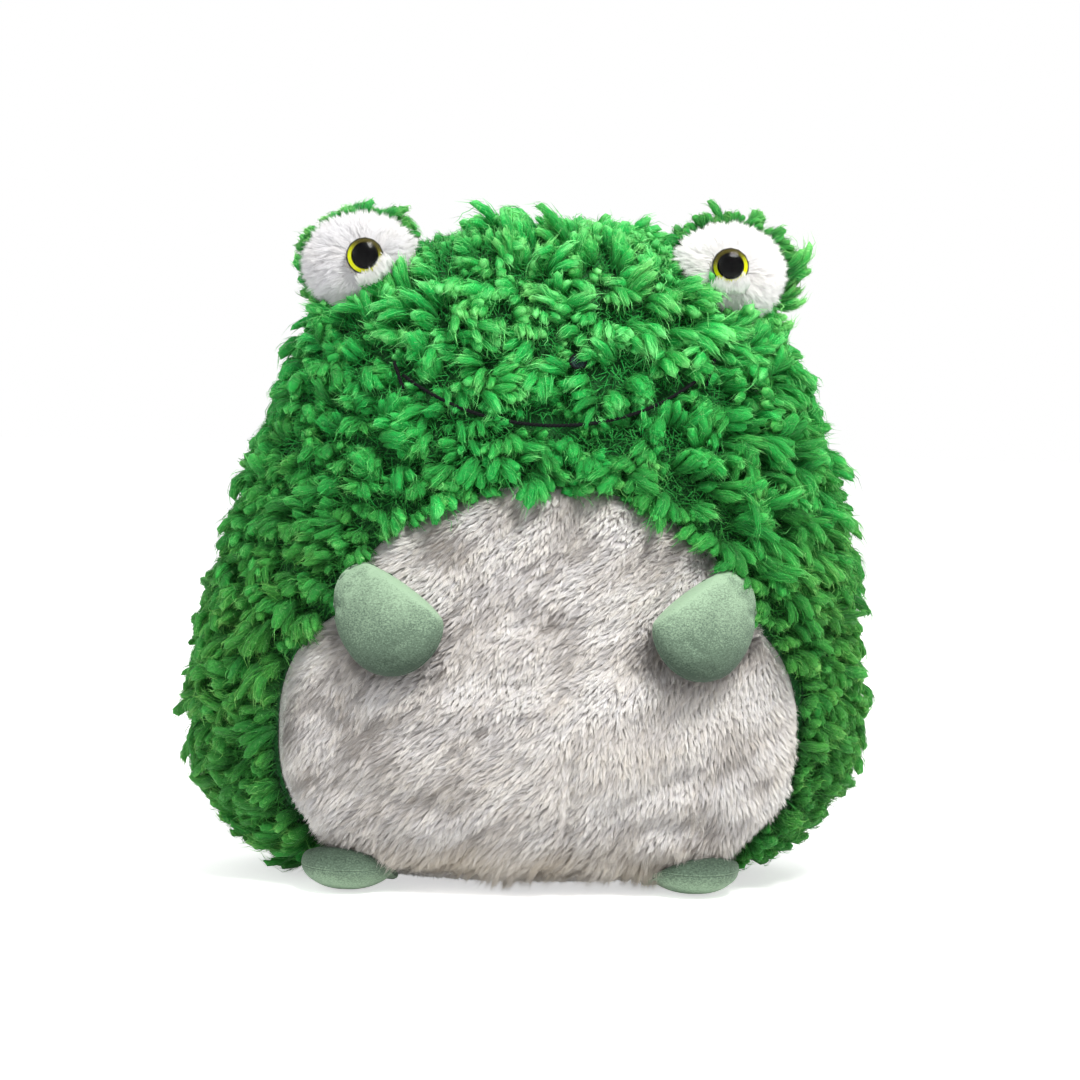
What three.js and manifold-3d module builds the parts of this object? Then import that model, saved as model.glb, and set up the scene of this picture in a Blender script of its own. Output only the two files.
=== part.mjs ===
// A sitting frog cushion of shaggy green plush with a white plush belly, two eye bumps with domed
// plastic eyes, a stitched mouth and nostrils, and four stuffed velour limbs that hang from a seam.
// Millimetres, +Z up. The frog looks along -Y, its left side is at +X, and it rests on Z = 0.

import * as THREE from 'three';
import { mergeVertices } from 'three/addons/utils/BufferGeometryUtils.js';
import Module from 'manifold-3d';

const wasm = await Module();
wasm.setup();

// Clearance between pieces that are sewn or pressed together.
const clearance = 0.3;

// Body: a squat gumdrop whose head runs into the shoulders without a neck.
const bodyHalfWidth = 147;
const bodyFrontDepth = 92;
const bodyBackDepth = 86;
const widestHeight = 82;
const headTop = 285;
const headNarrowing = 0.24;
const headThinning = 0.3;
const shoulderPower = 3.2;
const underPower = 2.8;
const slicePower = 2.25;
const restFlatDepth = 0.5;
const furThickness = 9;
const sideSeamY = 4;

// Tufts of the green pile: locks that rise from the skin and hang down, with hollows between them.
const tuftRise = 2;
const tuftFall = 3.5;
const tuftSag = 4;
const tuftFade = 12;
const threadMargin = 4;
const floorMargin = 24;

// Belly panel: a round dome over a wide pouch, seen from the front.
const bellySink = 2.5;
const bellyDomeHalfWidth = 84;
const bellyDomeHeight = 113;
const bellyDomeRise = 60;
const bellyPouchHalfWidth = 110;
const bellyPouchHeight = 68;
const bellyPouchReach = 66;
const bellyPouchPower = 2.6;

// Base panel: an oval underneath.
const baseHalfLength = 92;
const baseHalfWidth = 58;

// Eye bumps: one on each corner of the head, green behind and white in front. A bump's middle lies
// at the edge of the head, a little below the crown.
const bumpDrop = 21;
const bumpForward = 14;
const bumpHalfWidth = 27.5;
const bumpHalfDepth = 24;
const bumpHalfHeight = 24.5;
const bumpFurThickness = 6;
const patchHalfWidth = 24;
const patchHalfHeight = 20;
const patchSink = 1;
const patchSetForward = 2;

// Eyes: a clear dome over a yellow iris and a black pupil, on a black peg with a locking washer.
const eyeRadius = 8;
const eyeShiftIn = 1;
const eyeShiftUp = 3;
const eyeDomeHeight = 4.6;
const eyeRimHeight = 0.9;
const eyeWall = 0.9;
const irisThickness = 0.5;
const pupilRadius = 5.5;
const pupilHeight = 2.1;
const backDiscThickness = 1.2;
const pegRadius = 2.4;
const pegTipRadius = 1.4;
const pegLength = 12;
const washerRadius = 6.5;
const washerThickness = 1.4;
const washerPress = 0.6;
const seatDepth = 1.2;

// Mouth and nostrils: black thread laid in the fur.
const mouthHalfWidth = 67;
const mouthAboveBelly = 25;
const mouthRise = 24;
const mouthCurl = 0.2;
const threadRadius = 1.4;
const threadSink = 0.4;
const tickLength = 11;
const tickLean = 0.35;
const nostrilX = 11.7;
const nostrilAboveMouth = 27;
const nostrilRadius = 3.1;
const nostrilThreadRadius = 1.1;
const nostrilPitDepth = 2.4;

// Arms: flattened egg pods that lie on the belly, sewn at the upper outer end.
const armRootX = 83;
const armRootZ = 134.5;
const armTipX = 48;
const armTipZ = 99.5;
const armHalfWidth = 20.5;
const armHalfThickness = 11.5;
const armRootLift = 1.5;
const armTipLift = 8;
const armSwell = 0.18;

// Feet: pods under the front of the belly, sewn at the back end and splayed. As photographed, the pair
// lies a little to the frog's right of its middle.
const footX = 72;
const feetAside = 6;
const footBehindFront = 47;
const footHalfLength = 27;
const footHalfWidth = 19;
const footHalfThickness = 11.5;
const footSplay = 12;
const footSwell = 0.12;

// Skin of the limbs.
const velourThickness = 1.5;

// Facets.
const bodyRings = 16;
const bodyTurns = 28;
const furRings = 32;
const furTurns = 48;
const podRings = 9;
const podTurns = 14;
const outlineSteps = 36;
const roundSides = 14;
const threadSides = 8;
const ringSides = 6;
const domeSteps = 4;
const mouthSteps = 26;
const tickSteps = 4;

// Reach of a cutting block past whatever it cuts.
const beyond = 400;

// Heights that follow from the sizes above.
const bumpZ = headTop - bumpDrop;
const mouthLow = bellyDomeHeight + bellyDomeRise + mouthAboveBelly;
const nostrilZ = mouthLow + nostrilAboveMouth;

const green = { color: 0x3f9b43, roughness: 0.95 };
const white = { color: 0xdcd9d6, roughness: 0.95 };
const sage = { color: 0x93ab93, roughness: 0.9 };
const wadding = { color: 0xf2f2ee, roughness: 1 };
const threadBlack = { color: 0x15181a, roughness: 0.7 };
const plasticBlack = { color: 0x060606, roughness: 0.15 };
const irisYellow = { color: 0xd6d80f, roughness: 0.35 };
const washerWhite = { color: 0xe8e8e4, roughness: 0.5 };
const clear = { color: 0xffffff, roughness: 0.05, transparent: true, opacity: 0.35 };

// Solids: a closed geometry becomes a solid that can be joined and cut.
function solidOf(geometry) {
  const bare = geometry.clone();
  bare.deleteAttribute('normal');
  bare.deleteAttribute('uv');
  const merged = mergeVertices(bare, 1e-4);
  const vertProperties = new Float32Array(merged.attributes.position.array);
  const triVerts = new Uint32Array(merged.index.array);
  return new wasm.Manifold(new wasm.Mesh({ numProp: 3, vertProperties, triVerts }));
}

// The solid's faces as a geometry again.
function geometryOf(solid) {
  const mesh = solid.getMesh();
  const geometry = new THREE.BufferGeometry();
  geometry.setAttribute('position', new THREE.BufferAttribute(mesh.vertProperties, 3));
  geometry.setIndex(new THREE.BufferAttribute(mesh.triVerts, 1));
  const flat = geometry.toNonIndexed();
  flat.computeVertexNormals();
  return flat;
}

function meshOf(name, shape, material) {
  const geometry = shape.isBufferGeometry ? shape : geometryOf(shape);
  const mesh = new THREE.Mesh(geometry, new THREE.MeshStandardMaterial({ metalness: 0, ...material }));
  mesh.name = name;
  return mesh;
}

// Closed skin on a grid of turns round an axis and climbs along it, with a pole at each end. Squares
// are halved from one odd point to the other, so that each even point can stand alone as a peak.
function closedGrid(rings, turns, pointAt) {
  const positions = [];
  const indices = [];
  const add = (turn, climb) => positions.push(...pointAt(turn, climb).toArray());
  add(0, -Math.PI / 2);
  for (let ring = 1; ring < rings; ring += 1) {
    for (let step = 0; step < turns; step += 1) {
      add((step / turns) * 2 * Math.PI, (ring / rings - 0.5) * Math.PI);
    }
  }
  add(0, Math.PI / 2);
  const at = (ring, step) => 1 + (ring - 1) * turns + (step % turns);
  const top = positions.length / 3 - 1;
  for (let step = 0; step < turns; step += 1) {
    indices.push(0, at(1, step + 1), at(1, step));
    for (let ring = 1; ring < rings - 1; ring += 1) {
      const square = [at(ring, step), at(ring, step + 1), at(ring + 1, step + 1), at(ring + 1, step)];
      const [a, b, c, d] = (ring + step) % 2 ? square : [...square.slice(1), square[0]];
      indices.push(a, b, c, a, c, d);
    }
    indices.push(at(rings - 1, step), at(rings - 1, step + 1), top);
  }
  const geometry = new THREE.BufferGeometry();
  geometry.setAttribute('position', new THREE.Float32BufferAttribute(positions, 3));
  geometry.setIndex(indices);
  return geometry;
}

// A straight-sided block between two corners.
function block(low, high) {
  const size = new THREE.Vector3().subVectors(high, low);
  const geometry = new THREE.BoxGeometry(size.x, size.y, size.z);
  geometry.translate((low.x + high.x) / 2, (low.y + high.y) / 2, (low.z + high.z) / 2);
  return solidOf(geometry);
}

// Outline of a superellipse: |x / a| to the power + |y / b| to the power = 1.
function ovalShape(centreX, centreY, halfWidth, halfHeight, power = 2, steps = outlineSteps) {
  const points = [];
  for (let step = 0; step < steps; step += 1) {
    const angle = (step / steps) * 2 * Math.PI;
    const c = Math.cos(angle);
    const s = Math.sin(angle);
    const reach = (Math.abs(c) ** power + Math.abs(s) ** power) ** (-1 / power);
    points.push(new THREE.Vector2(centreX + halfWidth * c * reach, centreY + halfHeight * s * reach));
  }
  return new THREE.Shape(points);
}

// An outline drawn in X and Z, carried from nearY towards the front.
function frontColumn(shape, nearY = 0) {
  const geometry = new THREE.ExtrudeGeometry(shape, { depth: beyond, bevelEnabled: false });
  geometry.rotateX(Math.PI / 2);
  geometry.translate(0, nearY, 0);
  return solidOf(geometry);
}

// Body form. For a skin drawn in by inset, the share of the half width and of the reach above or
// below the widest level follows a superellipse, and the head narrows and thins as it rises.
function bodyReaches(inset) {
  return {
    up: headTop - inset - widestHeight,
    down: widestHeight + restFlatDepth - inset,
    wide: bodyHalfWidth - inset,
    front: bodyFrontDepth - inset,
    back: bodyBackDepth - inset,
  };
}

function bodyPoint(turn, climb, inset) {
  const reach = bodyReaches(inset);
  const power = climb > 0 ? shoulderPower : underPower;
  const c = Math.abs(Math.cos(climb));
  const s = Math.abs(Math.sin(climb));
  const radius = (c ** power + s ** power) ** (-1 / power);
  const rise = climb > 0 ? s * radius : 0;
  const drop = climb > 0 ? 0 : s * radius;
  const cx = Math.cos(turn);
  const cy = Math.sin(turn);
  const slice = (Math.abs(cx) ** slicePower + Math.abs(cy) ** slicePower) ** (-1 / slicePower);
  const depth = cy < 0 ? reach.front : reach.back;
  const x = reach.wide * (1 - headNarrowing * rise) * c * radius * slice * cx;
  const y = depth * (1 - headThinning * rise) * c * radius * slice * cy;
  return new THREE.Vector3(x, y, widestHeight + rise * reach.up - drop * reach.down);
}

function bodySolid(inset) {
  return solidOf(closedGrid(bodyRings, bodyTurns, (turn, climb) => bodyPoint(turn, climb, inset)));
}

// The same form with the finer facets of the fur's skin.
function fineSolid(inset) {
  return solidOf(closedGrid(furRings, furTurns, (turn, climb) => bodyPoint(turn, climb, inset)));
}

// Half width and front depth of the body's slice at a height.
function sliceAt(z, inset) {
  const reach = bodyReaches(inset);
  const above = z > widestHeight;
  const share = above ? (z - widestHeight) / reach.up : (widestHeight - z) / reach.down;
  const power = above ? shoulderPower : underPower;
  const level = (1 - share ** power) ** (1 / power);
  return {
    halfWidth: reach.wide * level * (above ? 1 - headNarrowing * share : 1),
    frontDepth: reach.front * level * (above ? 1 - headThinning * share : 1),
  };
}

// Point of the body's front skin at a place across and a height.
function frontPoint(x, z, inset) {
  const slice = sliceAt(z, inset);
  const across = Math.min(Math.abs(x) / slice.halfWidth, 1);
  const depth = slice.frontDepth * (1 - across ** slicePower) ** (1 / slicePower);
  return new THREE.Vector3(x, -depth, z);
}

// Outward direction of the front skin there.
function frontNormal(x, z) {
  const step = 0.5;
  const right = frontPoint(x + step, z, 0).sub(frontPoint(x - step, z, 0));
  const up = frontPoint(x, z + step, 0).sub(frontPoint(x, z - step, 0));
  return right.cross(up).normalize();
}

// Height of the body's underside at a place.
function undersideHeight(x, y) {
  const reach = bodyReaches(0);
  const across = (Math.abs(x) / reach.wide) ** slicePower;
  const along = (Math.abs(y) / reach.front) ** slicePower;
  const level = (across + along) ** (1 / slicePower);
  return widestHeight - reach.down * (1 - level ** underPower) ** (1 / underPower);
}

// Height of the mouth's line at a share of its half width.
function mouthHeight(share) {
  return mouthLow + mouthRise * ((1 - mouthCurl) * share ** 2 + mouthCurl * share ** 4);
}

// Share of a tuft that is left at a place, as tufts stay away from threads, bumps, arms and the floor.
function tuftShare(point) {
  const x = Math.abs(point.x);
  const front = new THREE.Vector2(x, point.z);
  const mouthShare = Math.min(x / mouthHalfWidth, 1);
  const mouthSpot = new THREE.Vector2(mouthShare * mouthHalfWidth, mouthHeight(mouthShare));
  const nostrilSpot = new THREE.Vector2(nostrilX, nostrilZ);
  const armRoot = new THREE.Vector2(armRootX, armRootZ);
  const armLine = new THREE.Vector2(armTipX, armTipZ).sub(armRoot);
  const alongArm = front.clone().sub(armRoot).dot(armLine) / armLine.lengthSq();
  const armSpot = armRoot.addScaledVector(armLine, THREE.MathUtils.clamp(alongArm, 0, 1));
  const fromBump = new THREE.Vector3(x, point.y, point.z).sub(bumpMiddle(1));
  fromBump.divide(new THREE.Vector3(bumpHalfWidth, bumpHalfDepth, bumpHalfHeight));
  const gaps = [(fromBump.length() - 1) * bumpHalfDepth, point.z - floorMargin];
  if (point.y < 0) {
    gaps.push(front.distanceTo(mouthSpot) - threadMargin);
    gaps.push(front.distanceTo(nostrilSpot) - nostrilRadius - threadMargin);
    gaps.push(front.distanceTo(armSpot) - armHalfWidth);
  }
  return THREE.MathUtils.smoothstep(Math.min(...gaps), 0, tuftFade);
}

// The body with its tufts: on every second point of the fine grid a lock rises and sags.
function tuftedSolid() {
  const pointAt = (turn, climb) => {
    const wave = Math.cos((turn * furTurns) / 2) * Math.cos((climb + Math.PI / 2) * furRings);
    const share = tuftShare(bodyPoint(turn, climb, 0));
    const point = bodyPoint(turn, climb, -share * wave * (wave > 0 ? tuftRise : tuftFall));
    point.z -= share * Math.max(wave, 0) * Math.cos(climb) * tuftSag;
    return point;
  };
  return solidOf(closedGrid(furRings, furTurns, pointAt));
}

const aboveFloor = block(new THREE.Vector3(-beyond, -beyond, 0), new THREE.Vector3(beyond, beyond, beyond));
const bodyOuter = bodySolid(0).intersect(aboveFloor);
const bodyInner = bodySolid(furThickness);
const bodyRoom = fineSolid(-clearance);

const frog = new THREE.Group();

// Body panels
function bellyColumn(grow) {
  const dome = ovalShape(0, bellyDomeHeight, bellyDomeHalfWidth + grow, bellyDomeRise + grow);
  const pouch = ovalShape(
    0,
    bellyPouchHeight,
    bellyPouchHalfWidth + grow,
    bellyPouchReach + grow,
    bellyPouchPower,
  );
  return frontColumn(dome).add(frontColumn(pouch));
}

function baseColumn(grow) {
  const oval = ovalShape(0, 0, baseHalfLength + grow, baseHalfWidth + grow);
  const geometry = new THREE.ExtrudeGeometry(oval, { depth: widestHeight, bevelEnabled: false });
  geometry.translate(0, 0, -widestHeight / 2);
  return solidOf(geometry);
}

// Path of the mouth across the front, from the right corner to the left one.
function mouthPoint(share) {
  return frontPoint(share * mouthHalfWidth, mouthHeight(share), threadSink);
}

// Short stitch that crosses the end of the mouth; side is -1 on the frog's right, 1 on its left.
function tickPath(side) {
  const end = mouthPoint(side);
  const x = end.x + side * (2 * threadRadius + clearance);
  const points = [-0.5, 0, 0.5].map((share) => {
    const z = end.z + share * tickLength;
    return frontPoint(x + side * share * tickLength * tickLean, z, threadSink);
  });
  return new THREE.CatmullRomCurve3(points);
}

function mouthPath() {
  const halfSteps = 6;
  const points = [];
  for (let step = -halfSteps; step <= halfSteps; step += 1) {
    points.push(mouthPoint(step / halfSteps));
  }
  return new THREE.CatmullRomCurve3(points);
}

function threadAlong(path, radius, steps) {
  const section = ovalShape(0, 0, radius, radius, 2, threadSides);
  return new THREE.ExtrudeGeometry(section, { steps, extrudePath: path, bevelEnabled: false });
}

const threads = [
  { name: 'mouth_stitch', path: mouthPath(), steps: mouthSteps },
  { name: 'right_mouth_corner_stitch', path: tickPath(-1), steps: tickSteps },
  { name: 'left_mouth_corner_stitch', path: tickPath(1), steps: tickSteps },
];

// Nostril: a ring of thread in a shallow pit, square to the skin.
function nostrilPlace(side) {
  const place = new THREE.Object3D();
  place.position.copy(frontPoint(side * nostrilX, nostrilZ, 0));
  place.up.set(0, 0, 1);
  place.lookAt(place.position.clone().add(frontNormal(side * nostrilX, nostrilZ)));
  place.updateMatrix();
  return place.matrix;
}

function nostrilPit(side) {
  const radius = nostrilRadius + nostrilThreadRadius + clearance;
  const pit = new THREE.CylinderGeometry(radius, radius, 2 * nostrilPitDepth, roundSides);
  pit.rotateX(Math.PI / 2);
  return solidOf(pit.applyMatrix4(nostrilPlace(side)));
}

const frontHalf = block(
  new THREE.Vector3(-beyond, -beyond, -beyond),
  new THREE.Vector3(beyond, sideSeamY - clearance / 2, beyond),
);
const backLow = new THREE.Vector3(clearance / 2, sideSeamY + clearance / 2, -beyond);
const backLeft = block(backLow, new THREE.Vector3(beyond, beyond, beyond));
const backRight = block(
  new THREE.Vector3(-beyond, backLow.y, -beyond),
  new THREE.Vector3(-backLow.x, beyond, beyond),
);

const furShell = tuftedSolid().intersect(aboveFloor).subtract(bodyInner).subtract(baseColumn(clearance));
let frontFur = furShell.intersect(frontHalf).subtract(bellyColumn(clearance));
for (const thread of threads) {
  frontFur = frontFur.subtract(solidOf(threadAlong(thread.path, threadRadius + clearance, thread.steps)));
}
for (const side of [-1, 1]) {
  frontFur = frontFur.subtract(nostrilPit(side));
}

const bellyPanel = bodySolid(bellySink)
  .intersect(aboveFloor)
  .subtract(bodyInner)
  .intersect(bellyColumn(0))
  .subtract(baseColumn(clearance));

frog.add(meshOf('front_fur_panel', frontFur, green));
frog.add(meshOf('back_fur_panel_left', furShell.intersect(backLeft), green));
frog.add(meshOf('back_fur_panel_right', furShell.intersect(backRight), green));
frog.add(meshOf('belly_panel', bellyPanel, white));
frog.add(meshOf('base_panel', bodyOuter.subtract(bodyInner).intersect(baseColumn(0)), white));
frog.add(meshOf('body_filling', bodySolid(furThickness + clearance), wadding));

for (const thread of threads) {
  frog.add(meshOf(thread.name, threadAlong(thread.path, threadRadius, thread.steps), threadBlack));
}

for (const side of [-1, 1]) {
  const ring = new THREE.TorusGeometry(nostrilRadius, nostrilThreadRadius, ringSides, roundSides);
  ring.translate(0, 0, nostrilThreadRadius + clearance - nostrilPitDepth);
  ring.applyMatrix4(nostrilPlace(side));
  frog.add(meshOf(side < 0 ? 'right_nostril_stitch' : 'left_nostril_stitch', solidOf(ring), threadBlack));
}

// Eye bumps: ellipsoids cut by the head.
function bumpMiddle(side) {
  return new THREE.Vector3(side * sliceAt(bumpZ, 0).halfWidth, -bumpForward, bumpZ);
}

function bumpSolid(side, inset) {
  const middle = bumpMiddle(side);
  const pointAt = (turn, climb) => new THREE.Vector3(
    middle.x + (bumpHalfWidth - inset) * Math.cos(climb) * Math.cos(turn),
    middle.y + (bumpHalfDepth - inset) * Math.cos(climb) * Math.sin(turn),
    middle.z + (bumpHalfHeight - inset) * Math.sin(climb),
  );
  return solidOf(closedGrid(podRings, podTurns, pointAt));
}

function patchColumn(side, grow) {
  const middle = bumpMiddle(side);
  const oval = ovalShape(middle.x, middle.z, patchHalfWidth + grow, patchHalfHeight + grow);
  return frontColumn(oval, middle.y - patchSetForward + grow);
}

// The eye looks out of its bump along this line, slightly inward and up.
function eyeLine(side) {
  return new THREE.Vector3(-side * eyeShiftIn, -bumpHalfDepth, eyeShiftUp).normalize();
}

// Distance from a bump's middle to its skin along the eye's line.
function bumpReach(inset) {
  const line = eyeLine(1);
  const across = line.x / (bumpHalfWidth - inset);
  const forward = line.y / (bumpHalfDepth - inset);
  const up = line.z / (bumpHalfHeight - inset);
  return 1 / Math.hypot(across, forward, up);
}

const eyeSeat = bumpReach(patchSink) - seatDepth;

function eyeFrame(side) {
  const place = new THREE.Object3D();
  place.position.copy(bumpMiddle(side)).addScaledVector(eyeLine(side), eyeSeat + clearance);
  place.up.set(0, 0, 1);
  place.lookAt(place.position.clone().add(eyeLine(side)));
  place.updateMatrix();
  return place;
}

function turned(profile) {
  const points = profile.map(([radius, height]) => new THREE.Vector2(radius, height));
  const geometry = new THREE.LatheGeometry(points, roundSides);
  geometry.rotateX(Math.PI / 2);
  return geometry;
}

// A plain round bar along the eye's line, from one level to another.
function eyeBar(place, radius, low, high) {
  const bar = turned([[0, low], [radius, low], [radius, high], [0, high]]);
  return solidOf(bar.applyMatrix4(place.matrix));
}

// Level of the washer's outer face, which presses a flat seat into the inside of the bump's plush.
const washerTop = bumpReach(bumpFurThickness) - eyeSeat - clearance - washerPress;

// Dome over the eye, as radius and height pairs from its rim to its middle.
function domeProfile(radius, low, high) {
  const points = [];
  for (let step = 0; step < domeSteps; step += 1) {
    const angle = (step / domeSteps) * (Math.PI / 2);
    points.push([radius * Math.cos(angle), low + (high - low) * Math.sin(angle)]);
  }
  return [...points, [0, high]];
}

function eyePieces(side, name) {
  const eye = eyeFrame(side);
  const irisLow = backDiscThickness + clearance;
  const irisHigh = irisLow + irisThickness;
  const innerRadius = eyeRadius - eyeWall;
  const pupilLow = irisHigh + clearance;
  const lensLow = backDiscThickness + clearance;
  const hollow = domeProfile(pupilRadius + clearance, pupilLow, pupilLow + pupilHeight + clearance);
  const rim = lensLow + eyeRimHeight;
  const lens = [
    ...hollow.reverse(),
    [innerRadius, pupilLow],
    [innerRadius, lensLow],
    [eyeRadius, lensLow],
    ...domeProfile(eyeRadius, rim, lensLow + eyeDomeHeight),
  ];
  const irisRadius = innerRadius - clearance;
  const iris = [[0, irisLow], [irisRadius, irisLow], [irisRadius, irisHigh], [0, irisHigh]];
  const pupil = [[0, pupilLow], ...domeProfile(pupilRadius, pupilLow, pupilLow + pupilHeight)];
  const peg = [
    [0, -pegLength],
    [pegTipRadius, -pegLength],
    [pegRadius, -pegLength + pegRadius],
    [pegRadius, 0],
    [eyeRadius, 0],
    [eyeRadius, backDiscThickness],
    [0, backDiscThickness],
  ];
  const washerHole = pegRadius + clearance;
  const washerLow = washerTop - washerThickness;
  const washer = [
    [washerHole, washerLow],
    [washerRadius, washerLow],
    [washerRadius, washerTop],
    [washerHole, washerTop],
    [washerHole, washerLow],
  ];
  eye.add(meshOf(`${name}_eye_lens`, solidOf(turned(lens)), clear));
  eye.add(meshOf(`${name}_eye_iris`, solidOf(turned(iris)), irisYellow));
  eye.add(meshOf(`${name}_eye_pupil`, solidOf(turned(pupil)), plasticBlack));
  eye.add(meshOf(`${name}_eye_shank`, solidOf(turned(peg)), plasticBlack));
  eye.add(meshOf(`${name}_eye_washer`, solidOf(turned(washer)), washerWhite));
  return eye;
}

for (const side of [-1, 1]) {
  const name = side < 0 ? 'right' : 'left';
  const eye = eyeFrame(side);
  const pegHole = eyeBar(eye, pegRadius + clearance, -pegLength - clearance, 0);
  const seat = eyeBar(eye, eyeRadius + clearance, -clearance, 2 * eyeRadius);
  const washerLow = washerTop - washerThickness - clearance;
  const pocket = eyeBar(eye, washerRadius + clearance, washerLow, washerTop + clearance);
  const fitted = pegHole.add(seat).add(pocket);
  const hollow = bumpSolid(side, bumpFurThickness).add(bodyRoom);
  const back = bumpSolid(side, 0).subtract(hollow).subtract(patchColumn(side, clearance));
  const front = bumpSolid(side, patchSink).subtract(hollow).intersect(patchColumn(side, 0));
  const filling = bumpSolid(side, bumpFurThickness + clearance).subtract(bodyRoom).subtract(fitted);
  frog.add(meshOf(`${name}_eye_bump_back`, back, green));
  frog.add(meshOf(`${name}_eye_bump_front`, front.subtract(fitted), white));
  frog.add(meshOf(`${name}_eye_bump_filling`, filling, wadding));
  frog.add(eyePieces(side, name));
}

// Limbs: a pod is an egg drawn along its own line, with tip and root as its poles.
// frame holds its middle, its line to the tip and its upper side.
function podSolid(frame, size, inset) {
  const across = new THREE.Vector3().crossVectors(frame.upper, frame.line);
  const pointAt = (turn, climb) => {
    const along = Math.sin(climb);
    const girth = Math.cos(climb) * (1 + size.swell * along);
    return frame.middle.clone()
      .addScaledVector(frame.line, (size.halfLength - inset) * along)
      .addScaledVector(across, (size.halfWidth - inset) * girth * Math.cos(turn))
      .addScaledVector(frame.upper, (size.halfThickness - inset) * girth * Math.sin(turn));
  };
  return solidOf(closedGrid(podRings, podTurns, pointAt));
}

// The block on the upper side of a pod's seam, or on its lower side.
function seamSide(frame, upper) {
  const across = new THREE.Vector3().crossVectors(frame.upper, frame.line);
  const turn = new THREE.Matrix4().makeBasis(across, frame.upper, frame.line);
  const half = new THREE.BoxGeometry(beyond, beyond, beyond);
  half.translate(0, (upper ? 1 : -1) * (beyond + clearance) / 2, 0);
  half.applyMatrix4(turn.setPosition(frame.middle));
  return solidOf(half);
}

// Two velour panels round a filling, cut by the body they lie against and by the floor.
function limbPieces(names, frame, size) {
  const trimmed = (inset) => {
    const floor = new THREE.Vector3(-beyond, -beyond, inset);
    const space = block(floor, new THREE.Vector3(beyond, beyond, beyond));
    return podSolid(frame, size, inset).subtract(fineSolid(-clearance - inset)).intersect(space);
  };
  const skin = trimmed(0).subtract(trimmed(velourThickness));
  frog.add(meshOf(names.upper, skin.intersect(seamSide(frame, true)), sage));
  frog.add(meshOf(names.lower, skin.intersect(seamSide(frame, false)), sage));
  frog.add(meshOf(names.filling, trimmed(velourThickness + clearance), wadding));
}

const hinges = {};

for (const side of [-1, 1]) {
  const name = side < 0 ? 'right' : 'left';
  const normal = frontNormal(side * (armRootX + armTipX) / 2, (armRootZ + armTipZ) / 2);
  const onSkin = frontPoint(side * armRootX, armRootZ, 0).addScaledVector(normal, clearance);
  const root = frontPoint(side * armRootX, armRootZ, 0).addScaledVector(normal, armRootLift);
  const tip = frontPoint(side * armTipX, armTipZ, 0).addScaledVector(normal, armTipLift);
  const line = tip.clone().sub(root).normalize();
  const upper = normal.clone().addScaledVector(line, -normal.dot(line)).normalize();
  const frame = { middle: root.clone().add(tip).multiplyScalar(0.5), line, upper };
  const size = {
    halfLength: root.distanceTo(tip) / 2,
    halfWidth: armHalfWidth,
    halfThickness: armHalfThickness,
    swell: armSwell,
  };
  const names = {
    upper: `${name}_arm_top_panel`,
    lower: `${name}_arm_under_panel`,
    filling: `${name}_arm_filling`,
  };
  limbPieces(names, frame, size);
  hinges[`${name}_arm`] = { at: onSkin, axis: new THREE.Vector3().crossVectors(line, upper) };
}

for (const side of [-1, 1]) {
  const name = side < 0 ? 'right' : 'left';
  const splay = THREE.MathUtils.degToRad(footSplay);
  const line = new THREE.Vector3(side * Math.sin(splay), -Math.cos(splay), 0);
  const upper = new THREE.Vector3(0, 0, 1);
  const footY = footBehindFront - bodyFrontDepth;
  const middle = new THREE.Vector3(side * footX - feetAside, footY, footHalfThickness - restFlatDepth);
  const size = {
    halfLength: footHalfLength,
    halfWidth: footHalfWidth,
    halfThickness: footHalfThickness,
    swell: footSwell,
  };
  const names = {
    upper: `${name}_foot_top_panel`,
    lower: `${name}_foot_sole_panel`,
    filling: `${name}_foot_filling`,
  };
  limbPieces(names, { middle, line, upper }, size);
  const at = middle.clone().addScaledVector(line, -footHalfLength);
  at.z = undersideHeight(at.x, at.y) - clearance;
  hinges[`${name}_foot`] = { at, axis: new THREE.Vector3().crossVectors(upper, line) };
}

// The origin is the middle of the part's box, on the floor.
const box = new THREE.Box3().setFromObject(frog, true);
const middleY = (box.min.y + box.max.y) / 2;
frog.position.y = -middleY;
for (const hinge of Object.values(hinges)) {
  hinge.at.y -= middleY;
}
frog.userData.hinges = hinges;

export default frog;
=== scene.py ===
# %% [markdown]
# # A frog cushion in shaggy plush
#
# The real object is a stuffed cushion in the shape of a sitting frog. Its cover is a green plush whose pile
# is curled into thick locks, with a short white plush on the belly and under the seat. Two bumps on the
# head carry plastic eyes, a black thread draws the mouth and the nostrils, and four small velour limbs
# hang from a seam each.
#
# The imported model gives every piece its place. It loads first. Only the tips of the fur may reach past
# it.

# %% Load the imported model
import math

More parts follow.
